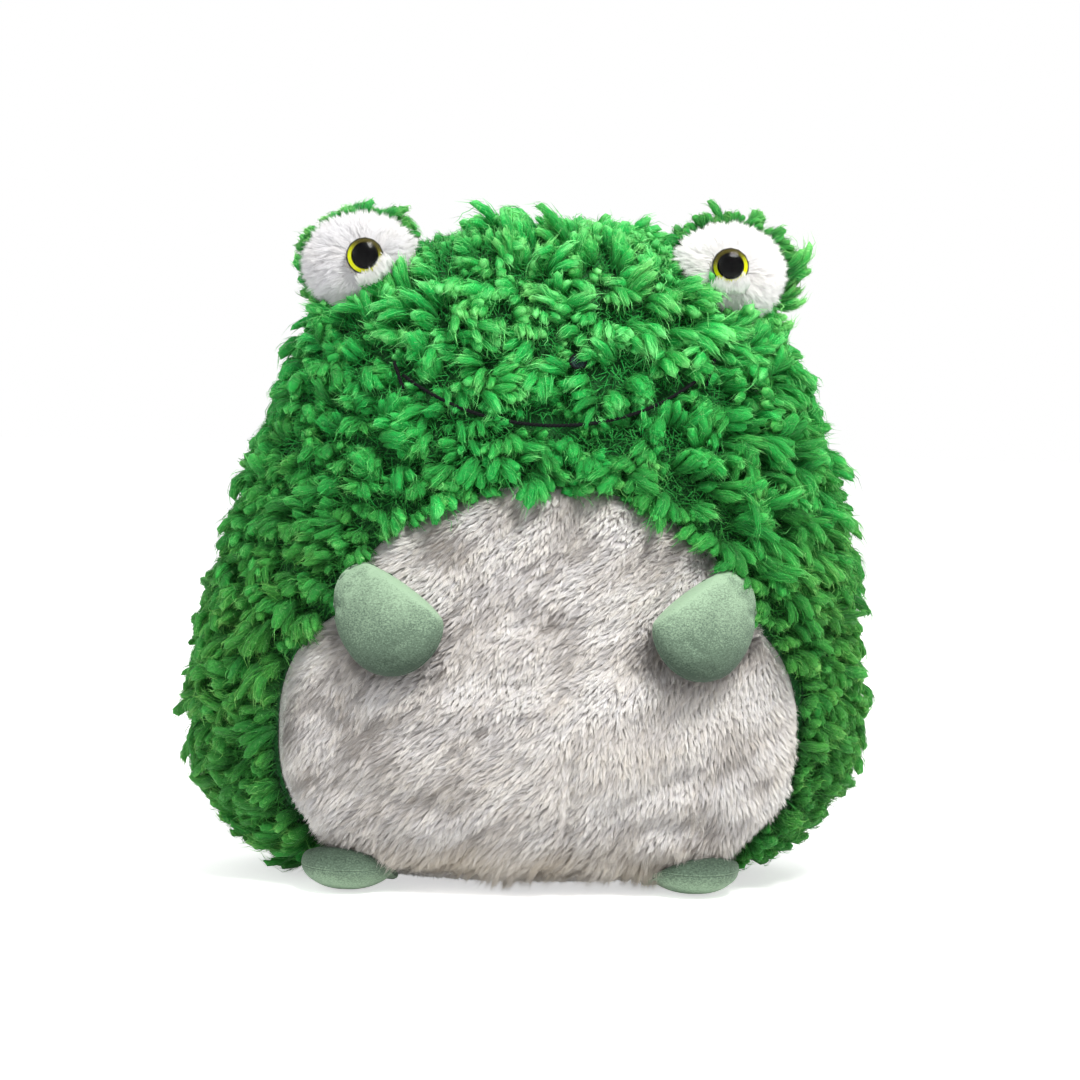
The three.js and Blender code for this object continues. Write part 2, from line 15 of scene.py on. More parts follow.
import bmesh
import bpy
import numpy as np
from mathutils import Matrix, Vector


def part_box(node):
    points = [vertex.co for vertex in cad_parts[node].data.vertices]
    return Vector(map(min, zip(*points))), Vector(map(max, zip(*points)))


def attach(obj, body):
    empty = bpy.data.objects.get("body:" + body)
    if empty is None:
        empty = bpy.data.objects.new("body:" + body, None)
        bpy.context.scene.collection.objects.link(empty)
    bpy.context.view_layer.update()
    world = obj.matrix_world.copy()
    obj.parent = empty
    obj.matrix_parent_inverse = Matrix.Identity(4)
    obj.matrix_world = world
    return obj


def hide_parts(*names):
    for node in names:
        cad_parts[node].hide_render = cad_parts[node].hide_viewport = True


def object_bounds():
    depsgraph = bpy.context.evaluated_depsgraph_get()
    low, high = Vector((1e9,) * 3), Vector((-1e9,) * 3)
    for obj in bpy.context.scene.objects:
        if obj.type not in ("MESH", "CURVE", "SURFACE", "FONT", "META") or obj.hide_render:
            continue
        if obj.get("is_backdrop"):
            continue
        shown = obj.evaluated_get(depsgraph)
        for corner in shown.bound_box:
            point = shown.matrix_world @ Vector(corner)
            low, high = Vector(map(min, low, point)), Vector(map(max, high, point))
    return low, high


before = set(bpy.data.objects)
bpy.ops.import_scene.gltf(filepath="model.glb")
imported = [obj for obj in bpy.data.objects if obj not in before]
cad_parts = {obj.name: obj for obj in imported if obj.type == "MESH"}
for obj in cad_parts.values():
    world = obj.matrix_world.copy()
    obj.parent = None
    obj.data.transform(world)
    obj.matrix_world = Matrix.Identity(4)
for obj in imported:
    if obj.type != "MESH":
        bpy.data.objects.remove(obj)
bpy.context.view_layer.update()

# %% [markdown]
# ## Sizes of the body
#
# The body is a squat gumdrop: wide a third of the way up and squarish below that, with a head that runs
# into the shoulders. The sizes are in metres. Its width, its top and the place of its middle are read
# from the frame, where the filling lies one fur and a small gap inside the skin, and the rest repeats
# the cover's own pattern.

# %% Body sizes
filling_gap = 0.0093
filling_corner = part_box("body_filling")[1]
body_half_width = filling_corner.x + filling_gap
head_top = filling_corner.z + filling_gap
body_front_depth = 0.092
body_back_depth = 0.086
middle_y = filling_corner.y + filling_gap - body_back_depth
widest_height = 0.082
head_narrowing = 0.24
head_thinning = 0.3
shoulder_power = 3.2
under_power = 3.3
slice_power = 2.25
rest_flat_depth = 0.0005
side_seam_y = 0.004
seam_gap = 0.0003
floor_gap = 0.0008
both_sides = ((-1, "right"), (1, "left"))
print("the body's middle lies at y =", round(middle_y, 5))

# %% [markdown]
# The belly is a round dome over a wide pouch, each a superellipse with its half width, the height of its
# middle, its half height and its power, and the seat is an oval. The fur stands on a knitted backing that
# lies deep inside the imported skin, so that the locks have room to rise and to bend over.

# %% Panel sizes
fur_depth = 0.009
belly_depth = 0.0028
base_depth = 0.0016
backing_thickness = 0.0012
belly_dome = (0.084, 0.113, 0.060, 2.0)
belly_pouch = (0.110, 0.068, 0.066, 2.6)
base_half_length = 0.092
base_half_width = 0.058
base_reach_up = 0.045

# %% [markdown]
# ## Colours and chance
#
# Colours are written as a picture shows them, from 0 to 255, and turned into the linear values that
# shaders add and multiply. All chance comes from one seeded generator, so each run gives the same frog.

# %% Colour and number helpers
chance = np.random.default_rng(20)


def paint(red, green, blue):
    """Linear colour of a picture's: ((c + 0.055) / 1.055) to the power 2.4, and c / 12.92 where dark."""
    shares = [level / 255 for level in (red, green, blue)]
    linear = [((c + 0.055) / 1.055) ** 2.4 if c > 0.04045 else c / 12.92 for c in shares]
    return (*linear, 1.0)


def unit(vectors):
    """Vectors divided by their own length."""
    return vectors / np.maximum(np.linalg.norm(vectors, axis=-1, keepdims=True), 1e-12)


def ease(low, high, values):
    """Goes smoothly from 0 at low to 1 at high: t * t * (3 - 2 t)."""
    t = np.clip((values - low) / (high - low), 0.0, 1.0)
    return t * t * (3.0 - 2.0 * t)


def fall(low, high, values):
    """Falls smoothly from 1 at low to 0 at high."""
    return 1 - ease(low, high, values)


def level_side(way):
    """Level direction to the right of whoever looks against a way."""
    return unit(np.cross([0.0, 0.0, 1.0], way))


print("black thread is", [round(c, 4) for c in paint(22, 24, 26)])

# %% [markdown]
# ## Writing shaders as sums
#
# A material is a tree of nodes. Wiring each Math node by hand hides what the tree works out, so a socket
# is wrapped in a small class whose plus, minus, times and power add the nodes. Every other node comes
# from one method that takes its type, its settings and what goes into its sockets.


# %% The shader helpers
class Wire:
    """A socket of numbers. Adding, subtracting, multiplying or raising it adds a Math node."""

    def __init__(self, finish, socket):
        self.finish = finish
        self.socket = socket

    def maths(self, operation, *terms):
        """Adds a Math node that does this operation on the terms."""
        return self.finish.node("ShaderNodeMath", {"operation": operation}, dict(enumerate(terms)))

    def sine(self):
        """Sine of the number."""
        return self.maths("SINE", self)

    def __add__(self, other):
        return self.maths("ADD", self, other)

    def __sub__(self, other):
        return self.maths("SUBTRACT", self, other)

    def __rsub__(self, other):
        return self.maths("SUBTRACT", other, self)

    def __mul__(self, other):
        return self.maths("MULTIPLY", self, other)

    def __pow__(self, other):
        return self.maths("POWER", self, other)

    __radd__ = __add__
    __rmul__ = __mul__


class Finish:
    """A tree of nodes that is being made, for a material or for the world."""

    def __init__(self, name, owner=None):
        self.material = owner or bpy.data.materials.new(name)
        self.material.use_nodes = True
        self.tree = self.material.node_tree
        self.tree.nodes.clear()

    def node(self, kind, settings=None, sockets=None, output=0):
        """Adds a node, sets it, then sets or links its sockets, and gives back one of its outputs."""
        made = self.tree.nodes.new(kind)
        for key, value in (settings or {}).items():
            if key == "stops":
                stops = made.color_ramp.elements
                while len(stops) < len(value):
                    stops.new(0.5)
                for stop, (place, colour) in zip(stops, value):
                    stop.position = place
                    stop.color = colour
            else:
                setattr(made, key, value)
        for key, value in (sockets or {}).items():
            if isinstance(value, Wire):
                self.tree.links.new(value.socket, made.inputs[key])
            else:
                made.inputs[key].default_value = value
        return Wire(self, made.outputs[output]) if made.outputs else None

    def ramp(self, factor, *rows):
        """Colour that goes through rows of (place, red, green, blue) as the factor rises."""
        stops = [(place, paint(*levels)) for place, *levels in rows]
        return self.node("ShaderNodeValToRGB", {"stops": stops}, {"Fac": factor}, "Color")

    def mix(self, factor, first, second, blend="MIX"):
        """Two colours mixed by a factor."""
        settings = {"data_type": "RGBA", "blend_type": blend}
        return self.node("ShaderNodeMix", settings, {"Factor": factor, 6: first, 7: second}, 2)

    def place(self, scale=(1.0, 1.0, 1.0), turn=(0.0, 0.0, 0.0)):
        """Place on the object in metres, stretched and turned by a Mapping node."""
        spot = self.node("ShaderNodeTexCoord", output="Object")
        return self.node("ShaderNodeMapping", {}, {"Vector": spot, "Scale": scale, "Rotation": turn})

    def parts(self, vector):
        """The three numbers of a vector."""
        split = self.node("ShaderNodeSeparateXYZ", {}, {"Vector": vector}).socket.node
        return [Wire(self, output) for output in split.outputs]

    def seen_by(self, *rays):
        """1 for rays of these kinds and 0 for others: the largest of the Light Path node's answers."""
        found = [self.node("ShaderNodeLightPath", output=f"Is {ray} Ray") for ray in rays]
        most = found[0]
        for answer in found[1:]:
            most = most.maths("MAXIMUM", most, answer)
        return most

    def noise(self, vector, scale, detail=2.0, roughness=0.5, distortion=0.0):
        """Smooth random number from 0 to 1."""
        sockets = dict(Vector=vector, Scale=scale, Detail=detail, Roughness=roughness, Distortion=distortion)
        return self.node("ShaderNodeTexNoise", {}, sockets, "Fac")

    def relief(self, height, depth):
        """Normal bumped by a height, with the depth of the bump in metres."""
        return self.node("ShaderNodeBump", {}, {"Height": height, "Distance": depth})

    def finish(self, **sockets):
        """Ends the tree with a Principled shader and gives back the material."""
        named = {key.replace("_", " "): value for key, value in sockets.items()}
        shader = self.node("ShaderNodeBsdfPrincipled", {}, named)
        self.node("ShaderNodeOutputMaterial", {}, {"Surface": shader})
        return self.material


print("shader helpers are ready")

# %% [markdown]
# ## Making meshes from arrays
#
# Every new surface is worked out as whole arrays of points, and one function puts them into a mesh. A
# fibre's own map holds two numbers: across is a number of chance that belongs to the strand, and along
# runs from its root to its tip. The materials of the fibres read nothing else.


# %% Mesh helpers
def mesh_piece(name, points, faces, material, slot, nodes=(), across_along=None, body="body"):
    """Object made of points and of faces with equally many corners, riding on a body."""
    mesh = bpy.data.meshes.new(name)
    corners = faces.shape[1]
    mesh.vertices.add(len(points))
    mesh.vertices.foreach_set("co", np.ascontiguousarray(points, np.float32).ravel())
    mesh.loops.add(faces.size)
    mesh.loops.foreach_set("vertex_index", np.ascontiguousarray(faces, np.int32).ravel())
    mesh.polygons.add(len(faces))
    mesh.polygons.foreach_set("loop_start", np.arange(0, faces.size, corners, dtype=np.int32))
    mesh.update(calc_edges=True)
    mesh.polygons.foreach_set("use_smooth", np.ones(len(faces), bool))
    if across_along is not None:
        layer = mesh.uv_layers.new(name="OFBake")
        layer.data.foreach_set("uv", across_along[faces.ravel()].astype(np.float32).ravel())
    mesh.materials.append(material)
    piece = bpy.data.objects.new(name, mesh)
    bpy.context.scene.collection.objects.link(piece)
    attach(piece, body)
    if nodes:
        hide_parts(*nodes)
    print(f"{name}: {len(points)} points, {len(faces) * (corners - 2)} triangles")
    return piece


def thicken(piece, thickness):
    """Gives a skin its thickness, inwards from the surface."""
    wall = piece.modifiers.new("thickness", "SOLIDIFY")
    wall.thickness = thickness
    wall.offset = -1.0
    return piece


def backing_piece(name, points, quads, knit, slot, node):
    """Knitted backing of a panel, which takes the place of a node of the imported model."""
    return thicken(mesh_piece(name, points, quads, knit, slot, [node]), backing_thickness)


def strand_piece(name, strands, material, slot):
    """Piece of fibres, which are given as points, triangles and map."""
    points, faces, across_along = strands
    return mesh_piece(name, points, faces, material, slot, across_along=across_along)


def merge_doubles(piece, distance=1e-6):
    """Joins points that lie on each other, such as those of a pole, and turns the faces outwards."""
    work = bmesh.new()
    work.from_mesh(piece.data)
    bmesh.ops.remove_doubles(work, verts=work.verts, dist=distance)
    bmesh.ops.recalc_face_normals(work, faces=work.faces)
    work.to_mesh(piece.data)
    work.free()
    return piece


def strip_faces(rows, columns, closed):
    """Quads of a grid of rows by columns, whose last column joins the first one if it is closed."""
    steps = columns if closed else columns - 1
    row, column = np.meshgrid(np.arange(rows - 1), np.arange(steps), indexing="ij")
    here, ahead = row * columns + column, row * columns + (column + 1) % columns
    return np.stack([here, ahead, ahead + columns, here + columns], -1).reshape(-1, 4)


def copies(faces, points_each, count):
    """The same faces for each of many copies that have points_each points."""
    shift = (np.arange(count) * points_each)[:, None, None]
    return (faces[None] + shift).reshape(-1, faces.shape[1])


def triangles_of(quads):
    """Each quad as two triangles."""
    return np.concatenate([quads[:, [0, 1, 2]], quads[:, [0, 2, 3]]])


# %% [markdown]
# ## A ball without poles
#
# A globe's grid pinches at its poles, and a pinch shows in plush. A cube whose faces are cut into squares
# and then blown up to a ball has no poles, so its squares stay alike. Each form of this frog is such a
# ball whose directions are sent to the form's own surface.


# %% Directions and forms
def even_ball(cuts):
    """Directions of a cube's surface points (1, tan a, tan b), made unit length, and the quads they span."""
    steps = np.tan(np.linspace(-1.0, 1.0, cuts + 1) * math.pi / 4)
    u, v = np.meshgrid(steps, steps, indexing="ij")
    sides = []
    for axis in range(3):
        for sign in (-1.0, 1.0):
            side = np.zeros((cuts + 1, cuts + 1, 3))
            side[..., axis] = sign
            side[..., (axis + 1) % 3] = u
            side[..., (axis + 2) % 3] = sign * v
            sides.append(side.reshape(-1, 3))
    quads = copies(strip_faces(cuts + 1, cuts + 1, False)[:, ::-1], (cuts + 1) ** 2, 6)
    points = unit(np.concatenate(sides))
    _, first, joined = np.unique(np.round(points, 7), axis=0, return_index=True, return_inverse=True)
    return points[first], joined.ravel()[quads]


def body_surface(ways, inset):
    """Skin of the body, drawn in by inset, in the directions of ways.

    With climb and turn the height and the bearing of a direction, the share of the width left is
    cos(climb) * radius and the share of the height used is sin(climb) * radius, where radius keeps
    cos^p + sin^p = 1. Each level is a superellipse in x and y, and narrows towards the head.
    """
    climb = np.arcsin(np.clip(ways[:, 2], -1.0, 1.0))
    turn = np.arctan2(ways[:, 1], ways[:, 0])
    power = np.where(climb > 0, shoulder_power, under_power)
    c, s = np.abs(np.cos(climb)), np.abs(np.sin(climb))
    radius = (c**power + s**power) ** (-1 / power)
    rise = np.where(climb > 0, s * radius, 0.0)
    drop = np.where(climb > 0, 0.0, s * radius)
    cx, cy = np.cos(turn), np.sin(turn)
    level = (np.abs(cx) ** slice_power + np.abs(cy) ** slice_power) ** (-1 / slice_power)
    depth = np.where(cy < 0, body_front_depth, body_back_depth) - inset
    x = (body_half_width - inset) * (1 - head_narrowing * rise) * c * radius * level * cx
    y = depth * (1 - head_thinning * rise) * c * radius * level * cy
    z = widest_height + rise * (head_top - widest_height - inset)
    z = z - drop * (widest_height + rest_flat_depth - inset)
    return np.stack([x, y + middle_y, np.maximum(z, inset)], -1)


def front_level(z, inset=0.0):
    """Half width and front depth of the body's slice at a height."""
    above = z > widest_height
    up = head_top - widest_height - inset
    down = widest_height + rest_flat_depth - inset
    share = np.clip(np.where(above, (z - widest_height) / up, (widest_height - z) / down), 0.0, 1.0)
    power = np.where(above, shoulder_power, under_power)
    level = (1 - share**power) ** (1 / power)
    narrow = np.where(above, 1 - head_narrowing * share, 1.0)
    thin = np.where(above, 1 - head_thinning * share, 1.0)
    return (body_half_width - inset) * level * narrow, (body_front_depth - inset) * level * thin


def front_skin(x, z, inset=0.0):
    """Points of the body's front at places across and heights: y = -depth * (1 - |x / width|^p)^(1/p)."""
    width, depth = front_level(z, inset)
    across = np.clip(np.abs(x) / np.maximum(width, 1e-6), 0.0, 1.0)
    y = -depth * (1 - across**slice_power) ** (1 / slice_power)
    return np.stack(np.broadcast_arrays(x, y + middle_y, z), -1)


def front_normal(x, z):
    """Outward direction of the front there, from two short steps."""
    step = 0.0005
    right = front_skin(x + step, z) - front_skin(x - step, z)
    up = front_skin(x, z + step) - front_skin(x, z - step)
    return unit(np.cross(right, up))


def underside(x, y):
    """Height of the body's underside at a place."""
    across = (np.abs(x) / body_half_width) ** slice_power
    along = (np.abs(y - middle_y) / body_front_depth) ** slice_power
    level = np.clip((across + along) ** (1 / slice_power), 0.0, 1.0)
    return widest_height - (widest_height + rest_flat_depth) * (1 - level**under_power) ** (1 / under_power)


body_cuts = 54
body_ways, body_quads = even_ball(body_cuts)
print("the body's skin has", len(body_quads), "quads")

# %% [markdown]
# ## Where one panel ends
#
# Each panel of the cover is a region of that skin. A region is a function that is above zero inside and
# falls to zero at its outline, so two regions meet where their functions do.


# %% Regions of the cover
def oval_depth(x, z, oval):
    """How deep a place lies inside a superellipse, in metres, below zero outside."""
    half_width, middle, half_height, power = oval
    reach = (np.abs(x / half_width) ** power + np.abs((z - middle) / half_height) ** power) ** (1 / power)
    return (1 - reach) * half_height


def belly_shape(x, z):
    """How deep a place lies inside the belly's outline, seen from the front."""
    return np.maximum(oval_depth(x, z, belly_dome), oval_depth(x, z, belly_pouch))


def belly_region(points):
    """The belly: its outline on the front half, down to the seat."""
    x, y, z = points.T
    return np.minimum(np.minimum(belly_shape(x, z), middle_y - y), -base_region(points))


def base_region(points):
    """The seat: an oval on the underside, no higher than its reach up."""
    x, y, z = points.T
    reach = np.sqrt((x / base_half_length) ** 2 + ((y - middle_y) / base_half_width) ** 2)
    return np.minimum((1 - reach) * base_half_width, base_reach_up - z)


def front_region(points):
    """The front of the green cover: all ahead of the side seam but the belly and the seat."""
    ahead = middle_y + side_seam_y - points[:, 1]
    return np.minimum(ahead, np.minimum(-belly_region(points), -base_region(points)))


def back_region(side):
    """One half of the back: behind the side seam and on one side of the middle, down to the seat."""

    def region(points):
        behind = points[:, 1] - middle_y - side_seam_y
        return np.minimum(np.minimum(behind, side * points[:, 0]), -base_region(points))

    return region


def snapped(ways, inset, region, edge):
    """Slides the outline's directions to the region's zero: way - value * slope / slope^2, three times."""
    step = 1e-4
    longest_move = 0.02
    ways = ways.copy()

    def value_at(places):
        return region(body_surface(places, inset))

    for _ in range(3):
        near = ways[edge]
        value = value_at(near) - seam_gap / 2
        changes = [value_at(unit(near + n)) - value_at(unit(near - n)) for n in np.eye(3) * step]
        slope = np.stack(changes, -1) / (2 * step)
        move = value[:, None] * slope / np.maximum((slope**2).sum(1, keepdims=True), 1e-9)
        length = np.linalg.norm(move, axis=1, keepdims=True)
        ways[edge] = unit(near - move * np.minimum(1.0, longest_move / np.maximum(length, 1e-12)))
    return ways


def panel(region, inset):
    """Points and quads of the skin inside a region, with the outline slid to the region's edge."""
    value = region(body_surface(body_ways, inset))
    inside = value[body_quads].mean(1) > 0
    kept = body_quads[inside]
    edge = np.intersect1d(np.unique(kept), np.unique(body_quads[~inside]))
    points = body_surface(snapped(body_ways, inset, region, edge), inset)
    used, quads = np.unique(kept, return_inverse=True)
    return points[used], quads.reshape(-1, 4)


def skin_normals(points, faces):
    """Direction of each point: the sum of the directions of its faces, each as long as its area."""
    crossed = np.cross(points[faces[:, 2]] - points[faces[:, 0]], points[faces[:, -1]] - points[faces[:, 1]])
    summed = np.zeros_like(points)
    for corner in range(faces.shape[1]):
        np.add.at(summed, faces[:, corner], crossed)
    return unit(summed)


print("regions are ready")

# %% [markdown]
# ## Places for roots
#
# Fur that grows on a grid looks like a brush, and fur at random places has bald spots. Here many random
# places are thrown on the skin, and each small cube of space keeps only the first one that fell into it.


# %% Scattering
def scatter(points, quads, spacing, crowd=8.0, thin=True):
    """Random places on a skin and their directions, at most one in each cube as wide as the spacing."""
    faces = triangles_of(quads)
    normals = skin_normals(points, quads)
    a, b, c = (points[faces[:, corner]] for corner in range(3))
    area = np.linalg.norm(np.cross(b - a, c - a), axis=1) / 2
    count = int(area.sum() / spacing**2 * crowd)
    chosen = chance.choice(len(faces), count, p=area / area.sum())
    s, t = chance.random((2, count, 1))
    folded = s + t > 1
    s, t = np.where(folded, 1 - s, s), np.where(folded, 1 - t, t)
    places = a[chosen] * (1 - s - t) + b[chosen] * s + c[chosen] * t
    na, nb, nc = (normals[faces[chosen, corner]] for corner in range(3))
    outward = unit(na * (1 - s - t) + nb * s + nc * t)
    if not thin:
        return places, outward
    cells_across = 4096
    cell = np.floor(places / spacing).astype(np.int64)
    key = (cell[:, 0] * cells_across + cell[:, 1]) * cells_across + cell[:, 2]
    _, first = np.unique(key, return_index=True)
    first.sort()
    return places[first], outward[first]


def combed(outward, towards, swirl):
    """Directions along the skin: towards with its part along outward taken off, turned by swirl."""
    flat = unit(towards - (towards * outward).sum(1, keepdims=True) * outward)
    side = np.cross(outward, flat)
    return flat * np.cos(swirl)[:, None] + side * np.sin(swirl)[:, None]


hook = 1.7
bend_steps = np.linspace(0.0, 1.3, 27)


def bend_sums(lean_root, lean_tip):
    """Sums of cos a and sin a up to each bend step, with a(s) = root + (tip - root) * s^hook."""
    middle = (bend_steps[1:] + bend_steps[:-1]) / 2
    angle = lean_root[:, None] + (lean_tip - lean_root)[:, None] * middle**hook
    nothing = np.zeros((len(lean_root), 1))
    rise = np.concatenate([nothing, np.cumsum(np.cos(angle), 1)], 1) * bend_steps[1]
    reach = np.concatenate([nothing, np.cumsum(np.sin(angle), 1)], 1) * bend_steps[1]
    return rise, reach


def bent_lines(roots, outward, combs, lengths, lean_root, lean_tip, shares):
    """Lines that leave the skin at lean_root from its normal and hook over to lean_tip near their end.

    The place at share s is root + length * the integral from 0 to s of cos(a) * outward + sin(a) * comb.
    The second result is each place's upper side.
    """
    sums = bend_sums(lean_root, lean_tip)
    shares = np.broadcast_to(shares, (len(roots), np.shape(shares)[-1]))
    before = np.minimum((shares / bend_steps[1]).astype(int), len(bend_steps) - 2)
    part = shares / bend_steps[1] - before
    row = np.arange(len(roots))[:, None]
    rise, reach = (table[row, before] * (1 - part) + table[row, before + 1] * part for table in sums)
    angle = lean_root[:, None] + (lean_tip - lean_root)[:, None] * shares**hook
    size = lengths[:, None, None]
    line = roots[:, None] + size * (rise[..., None] * outward[:, None] + reach[..., None] * combs[:, None])
    upper = np.sin(angle)[..., None] * outward[:, None] - np.cos(angle)[..., None] * combs[:, None]
    return line, upper


print("fibre helpers are ready")

# %% [markdown]
# ## Camera, light and stage
#
# The photograph was taken from a little above the floor and a touch to the side, from so far that the
# frog hardly narrows towards its top. The camera keeps that place, rolled a little, as the frog leans in
# the picture. The light is plain and soft: a grey dome, a large lamp from above on the right, a weak one
# from the left and one from behind, at a level where a colour comes out about as it is written.

# %% Camera
picture_width = 1080
camera_distance = 1.3
camera_elevation = math.radians(3.5)
camera_azimuth = math.radians(-4.0)
camera_roll = math.radians(1.5)
target = np.array([0.0, middle_y, 0.146])
focal_pixels = 2960.0
target_left_of_middle = 5.0


def stand(thing, right, up, back, place):
    """Puts a camera or a lamp at its place, where it looks against the way back."""
    pose = np.eye(4)
    pose[:3] = np.stack([right, up, back, place], 1)
    thing.matrix_world = Matrix(pose.tolist())
    bpy.context.scene.collection.objects.link(thing)


back = np.array([
    math.sin(camera_azimuth) * math.cos(camera_elevation),
    -math.cos(camera_azimuth) * math.cos(camera_elevation),
    math.sin(camera_elevation),
])
level_right = level_side(back)
level_up = np.cross(back, level_right)
right = level_right * math.cos(camera_roll) + level_up * math.sin(camera_roll)

eye = bpy.data.cameras.new("camera")
eye.sensor_width = 36.0
eye.lens = focal_pixels / picture_width * eye.sensor_width
eye.shift_x = target_left_of_middle / picture_width
eye.clip_end = 50.0
camera = bpy.data.objects.new("camera", eye)
stand(camera, right, np.cross(back, right), back, target + back * camera_distance)
bpy.context.scene.camera = camera
bpy.context.scene.view_settings.view_transform = "Standard"
print("the camera has a lens of", round(eye.lens, 1), "mm")


# %% Lamps and the white surroundings
def lamp(name, place, size, watts, tint):
    """Square soft lamp at a place, aimed at the frog's middle."""
    light = bpy.data.lights.new(name, "AREA")
    light.shape = "SQUARE"
    light.size = size
    light.energy = watts
    light.color = tint
    back = unit(np.array(place) - target)
    side = level_side(back)
    stand(bpy.data.objects.new(name, light), side, np.cross(back, side), back, place)


lamp("key_lamp", (0.42, -0.80, 1.40), 0.45, 26.0, (1.0, 0.98, 0.95))
lamp("fill_lamp", (-1.1, -0.9, 0.75), 0.9, 3.6, (0.95, 0.98, 1.0))
lamp("back_lamp", (0.1, 1.3, 1.1), 1.0, 8.0, (1.0, 1.0, 1.0))

white = (1.0, 1.0, 1.0, 1.0)
dome_level = 0.58
sky = Finish("surroundings", bpy.data.worlds.new("surroundings"))
bpy.context.scene.world = sky.material
seen = sky.seen_by("Camera", "Glossy", "Transmission")
level = sky.node("ShaderNodeMapRange", {}, {"Value": seen, "To Min": dome_level, "To Max": 1.0})
dome = sky.node("ShaderNodeBackground", {}, {"Color": white, "Strength": level})
sky.node("ShaderNodeOutputWorld", {}, {"Surface": dome})
print("the surroundings are white to the camera")

# %% Floor
floor_glow = 0.6
floor_half = 6.0
ground = Finish("floor_white")
dark = ground.node("ShaderNodeEmission", {}, {"Color": (0, 0, 0, 1), "Strength": 0.0})
glow = ground.node("ShaderNodeEmission", {}, {"Color": white, "Strength": floor_glow})
matt = ground.node("ShaderNodeBsdfDiffuse", {}, {"Color": paint(236, 236, 236)})
lit = ground.node("ShaderNodeMixShader", {}, {0: ground.seen_by("Camera", "Glossy"), 1: dark, 2: glow})
both = ground.node("ShaderNodeAddShader", {}, {0: lit, 1: matt})
ground.node("ShaderNodeOutputMaterial", {}, {"Surface": both})

floor_mesh = bpy.data.meshes.new("floor")
corners = floor_half * np.array([(-1, -1, 0), (1, -1, 0), (1, 1, 0), (-1, 1, 0)])
floor_mesh.from_pydata(corners.tolist(), [], [(0, 1, 2, 3)])
floor_mesh.materials.append(ground.material)
floor = bpy.data.objects.new("floor", floor_mesh)
bpy.context.scene.collection.objects.link(floor)
floor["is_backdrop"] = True

# %% [markdown]
# ## Finishes of the plush
#
# The long pile is dyed in one green, and its colour along each fibre carries painted shade and light:
# deep and dark at the root, where the light doesn't reach, clear green along the lock and pale where the
# tips are thin and let light through. On the flanks it turns a little olive. The map's first number picks
# the strand, so a fine noise of it gives each strand its own shade, and a lock's core gets streaks along
# its length, with specks of painted glints.


# %% Fibre finishes
def fibre_finish(name, cool, warm, painted_glint, streaks, contrast, bump_depth, sheen_tint):
    """Pile whose colour runs from root to tip through cool or warm, by the strand's number.

    A slow noise of the number gives each finger its own tone, a finer one draws streaks along it, and the
    peaks of a third, cut across into specks, are painted glints. The dark roots of the ramps are painted
    shade and their pale tips painted light.
    """
    pile = Finish(name)
    strand, along, _ = pile.parts(pile.node("ShaderNodeUVMap", {"uv_map": "OFBake"}))
    crimped = strand + (along * 60.0).sine() * 0.0030

    def grain(across, lengthwise, detail=1.0, roughness=0.5):
        place = pile.node("ShaderNodeCombineXYZ", {}, {"X": across, "Y": lengthwise})
        return pile.noise(place, 1.0, detail, roughness)

    streak = grain(crimped * streaks, along * 2.5, 2.0, 0.6)
    tone = grain(strand * 37.0, along * 0.8) * 0.8 + 0.1
    speck = grain(crimped * (streaks * 2.3), along * 16.0)
    shifted = along + (streak - 0.5) * (0.5 * contrast) + (tone - 0.5) * (0.5 * contrast)
    colour = pile.mix(strand, pile.ramp(shifted, *warm), pile.ramp(shifted, *cool))
    light = (streak - 0.5) * contrast + (tone - 0.5) * contrast + 1.0
    grey = pile.node("ShaderNodeCombineColor", {}, {0: light, 1: light, 2: light})
    shaded = pile.mix(1.0, colour, grey, "MULTIPLY")
    # Painted glints: where a fine noise peaks, the colour is mixed towards a pale glint colour.
    painted_glint_specks = pile.node("ShaderNodeMapRange", {}, {"Value": speck, "From Min": 0.62, "From Max": 0.78})
    return pile.finish(
        Base_Color=pile.mix(painted_glint_specks * along, shaded, painted_glint),
        Roughness=0.6,
        Normal=pile.relief(streak + speck * 0.6, bump_depth),
        Specular_IOR_Level=0.2,
        Sheen_Weight=0.3,
        Sheen_Roughness=0.5,
        Sheen_Tint=sheen_tint,
    )


green_pile = fibre_finish(
    "green_pile",
    cool=((0.0, 4, 82, 30), (0.3, 4, 120, 46), (0.62, 10, 181, 76), (1.0, 132, 245, 146)),
    warm=((0.0, 4, 40, 6), (0.3, 20, 82, 20), (0.62, 64, 137, 48), (1.0, 158, 218, 114)),
    painted_glint=paint(200, 252, 176),
    streaks=420.0,
    contrast=0.8,
    bump_depth=0.0004,
    sheen_tint=paint(140, 255, 140),
)
white_pile = fibre_finish(
    "white_pile",
    cool=((0.0, 164, 163, 166), (0.36, 224, 224, 228), (1.0, 255, 255, 255)),
    warm=((0.0, 132, 120, 104), (0.4, 190, 178, 160), (1.0, 228, 218, 200)),
    painted_glint=paint(253, 253, 255),
    streaks=200.0,
    contrast=0.15,
    bump_depth=0.0001,
    sheen_tint=paint(255, 254, 252),
)
print("pile finishes are ready")


# %% Backing finishes
def knit_finish(name, dark, light, stitch=0.0016):
    """Knitted backing: two crossed waves a stitch apart, under a slow change of shade."""
    knit = Finish(name)
    spot = knit.place()
    across, _, height = knit.parts(spot)
    count = 2 * math.pi / stitch
    loops = (across * count).sine() * (height * (count * 0.7)).sine() * 0.5 + 0.5
    shade = knit.noise(spot, 60.0, 3.0) * 0.7 + loops * 0.3
    return knit.finish(
        Base_Color=knit.ramp(shade, (0.2, *dark), (0.8, *light)),
        Roughness=0.95,
        Normal=knit.relief(loops, 0.0004),
        Sheen_Weight=0.2,
    )


green_knit = knit_finish("green_knit", (0, 60, 16), (8, 100, 34))
white_knit = knit_finish("white_knit", (176, 170, 164), (206, 202, 198))


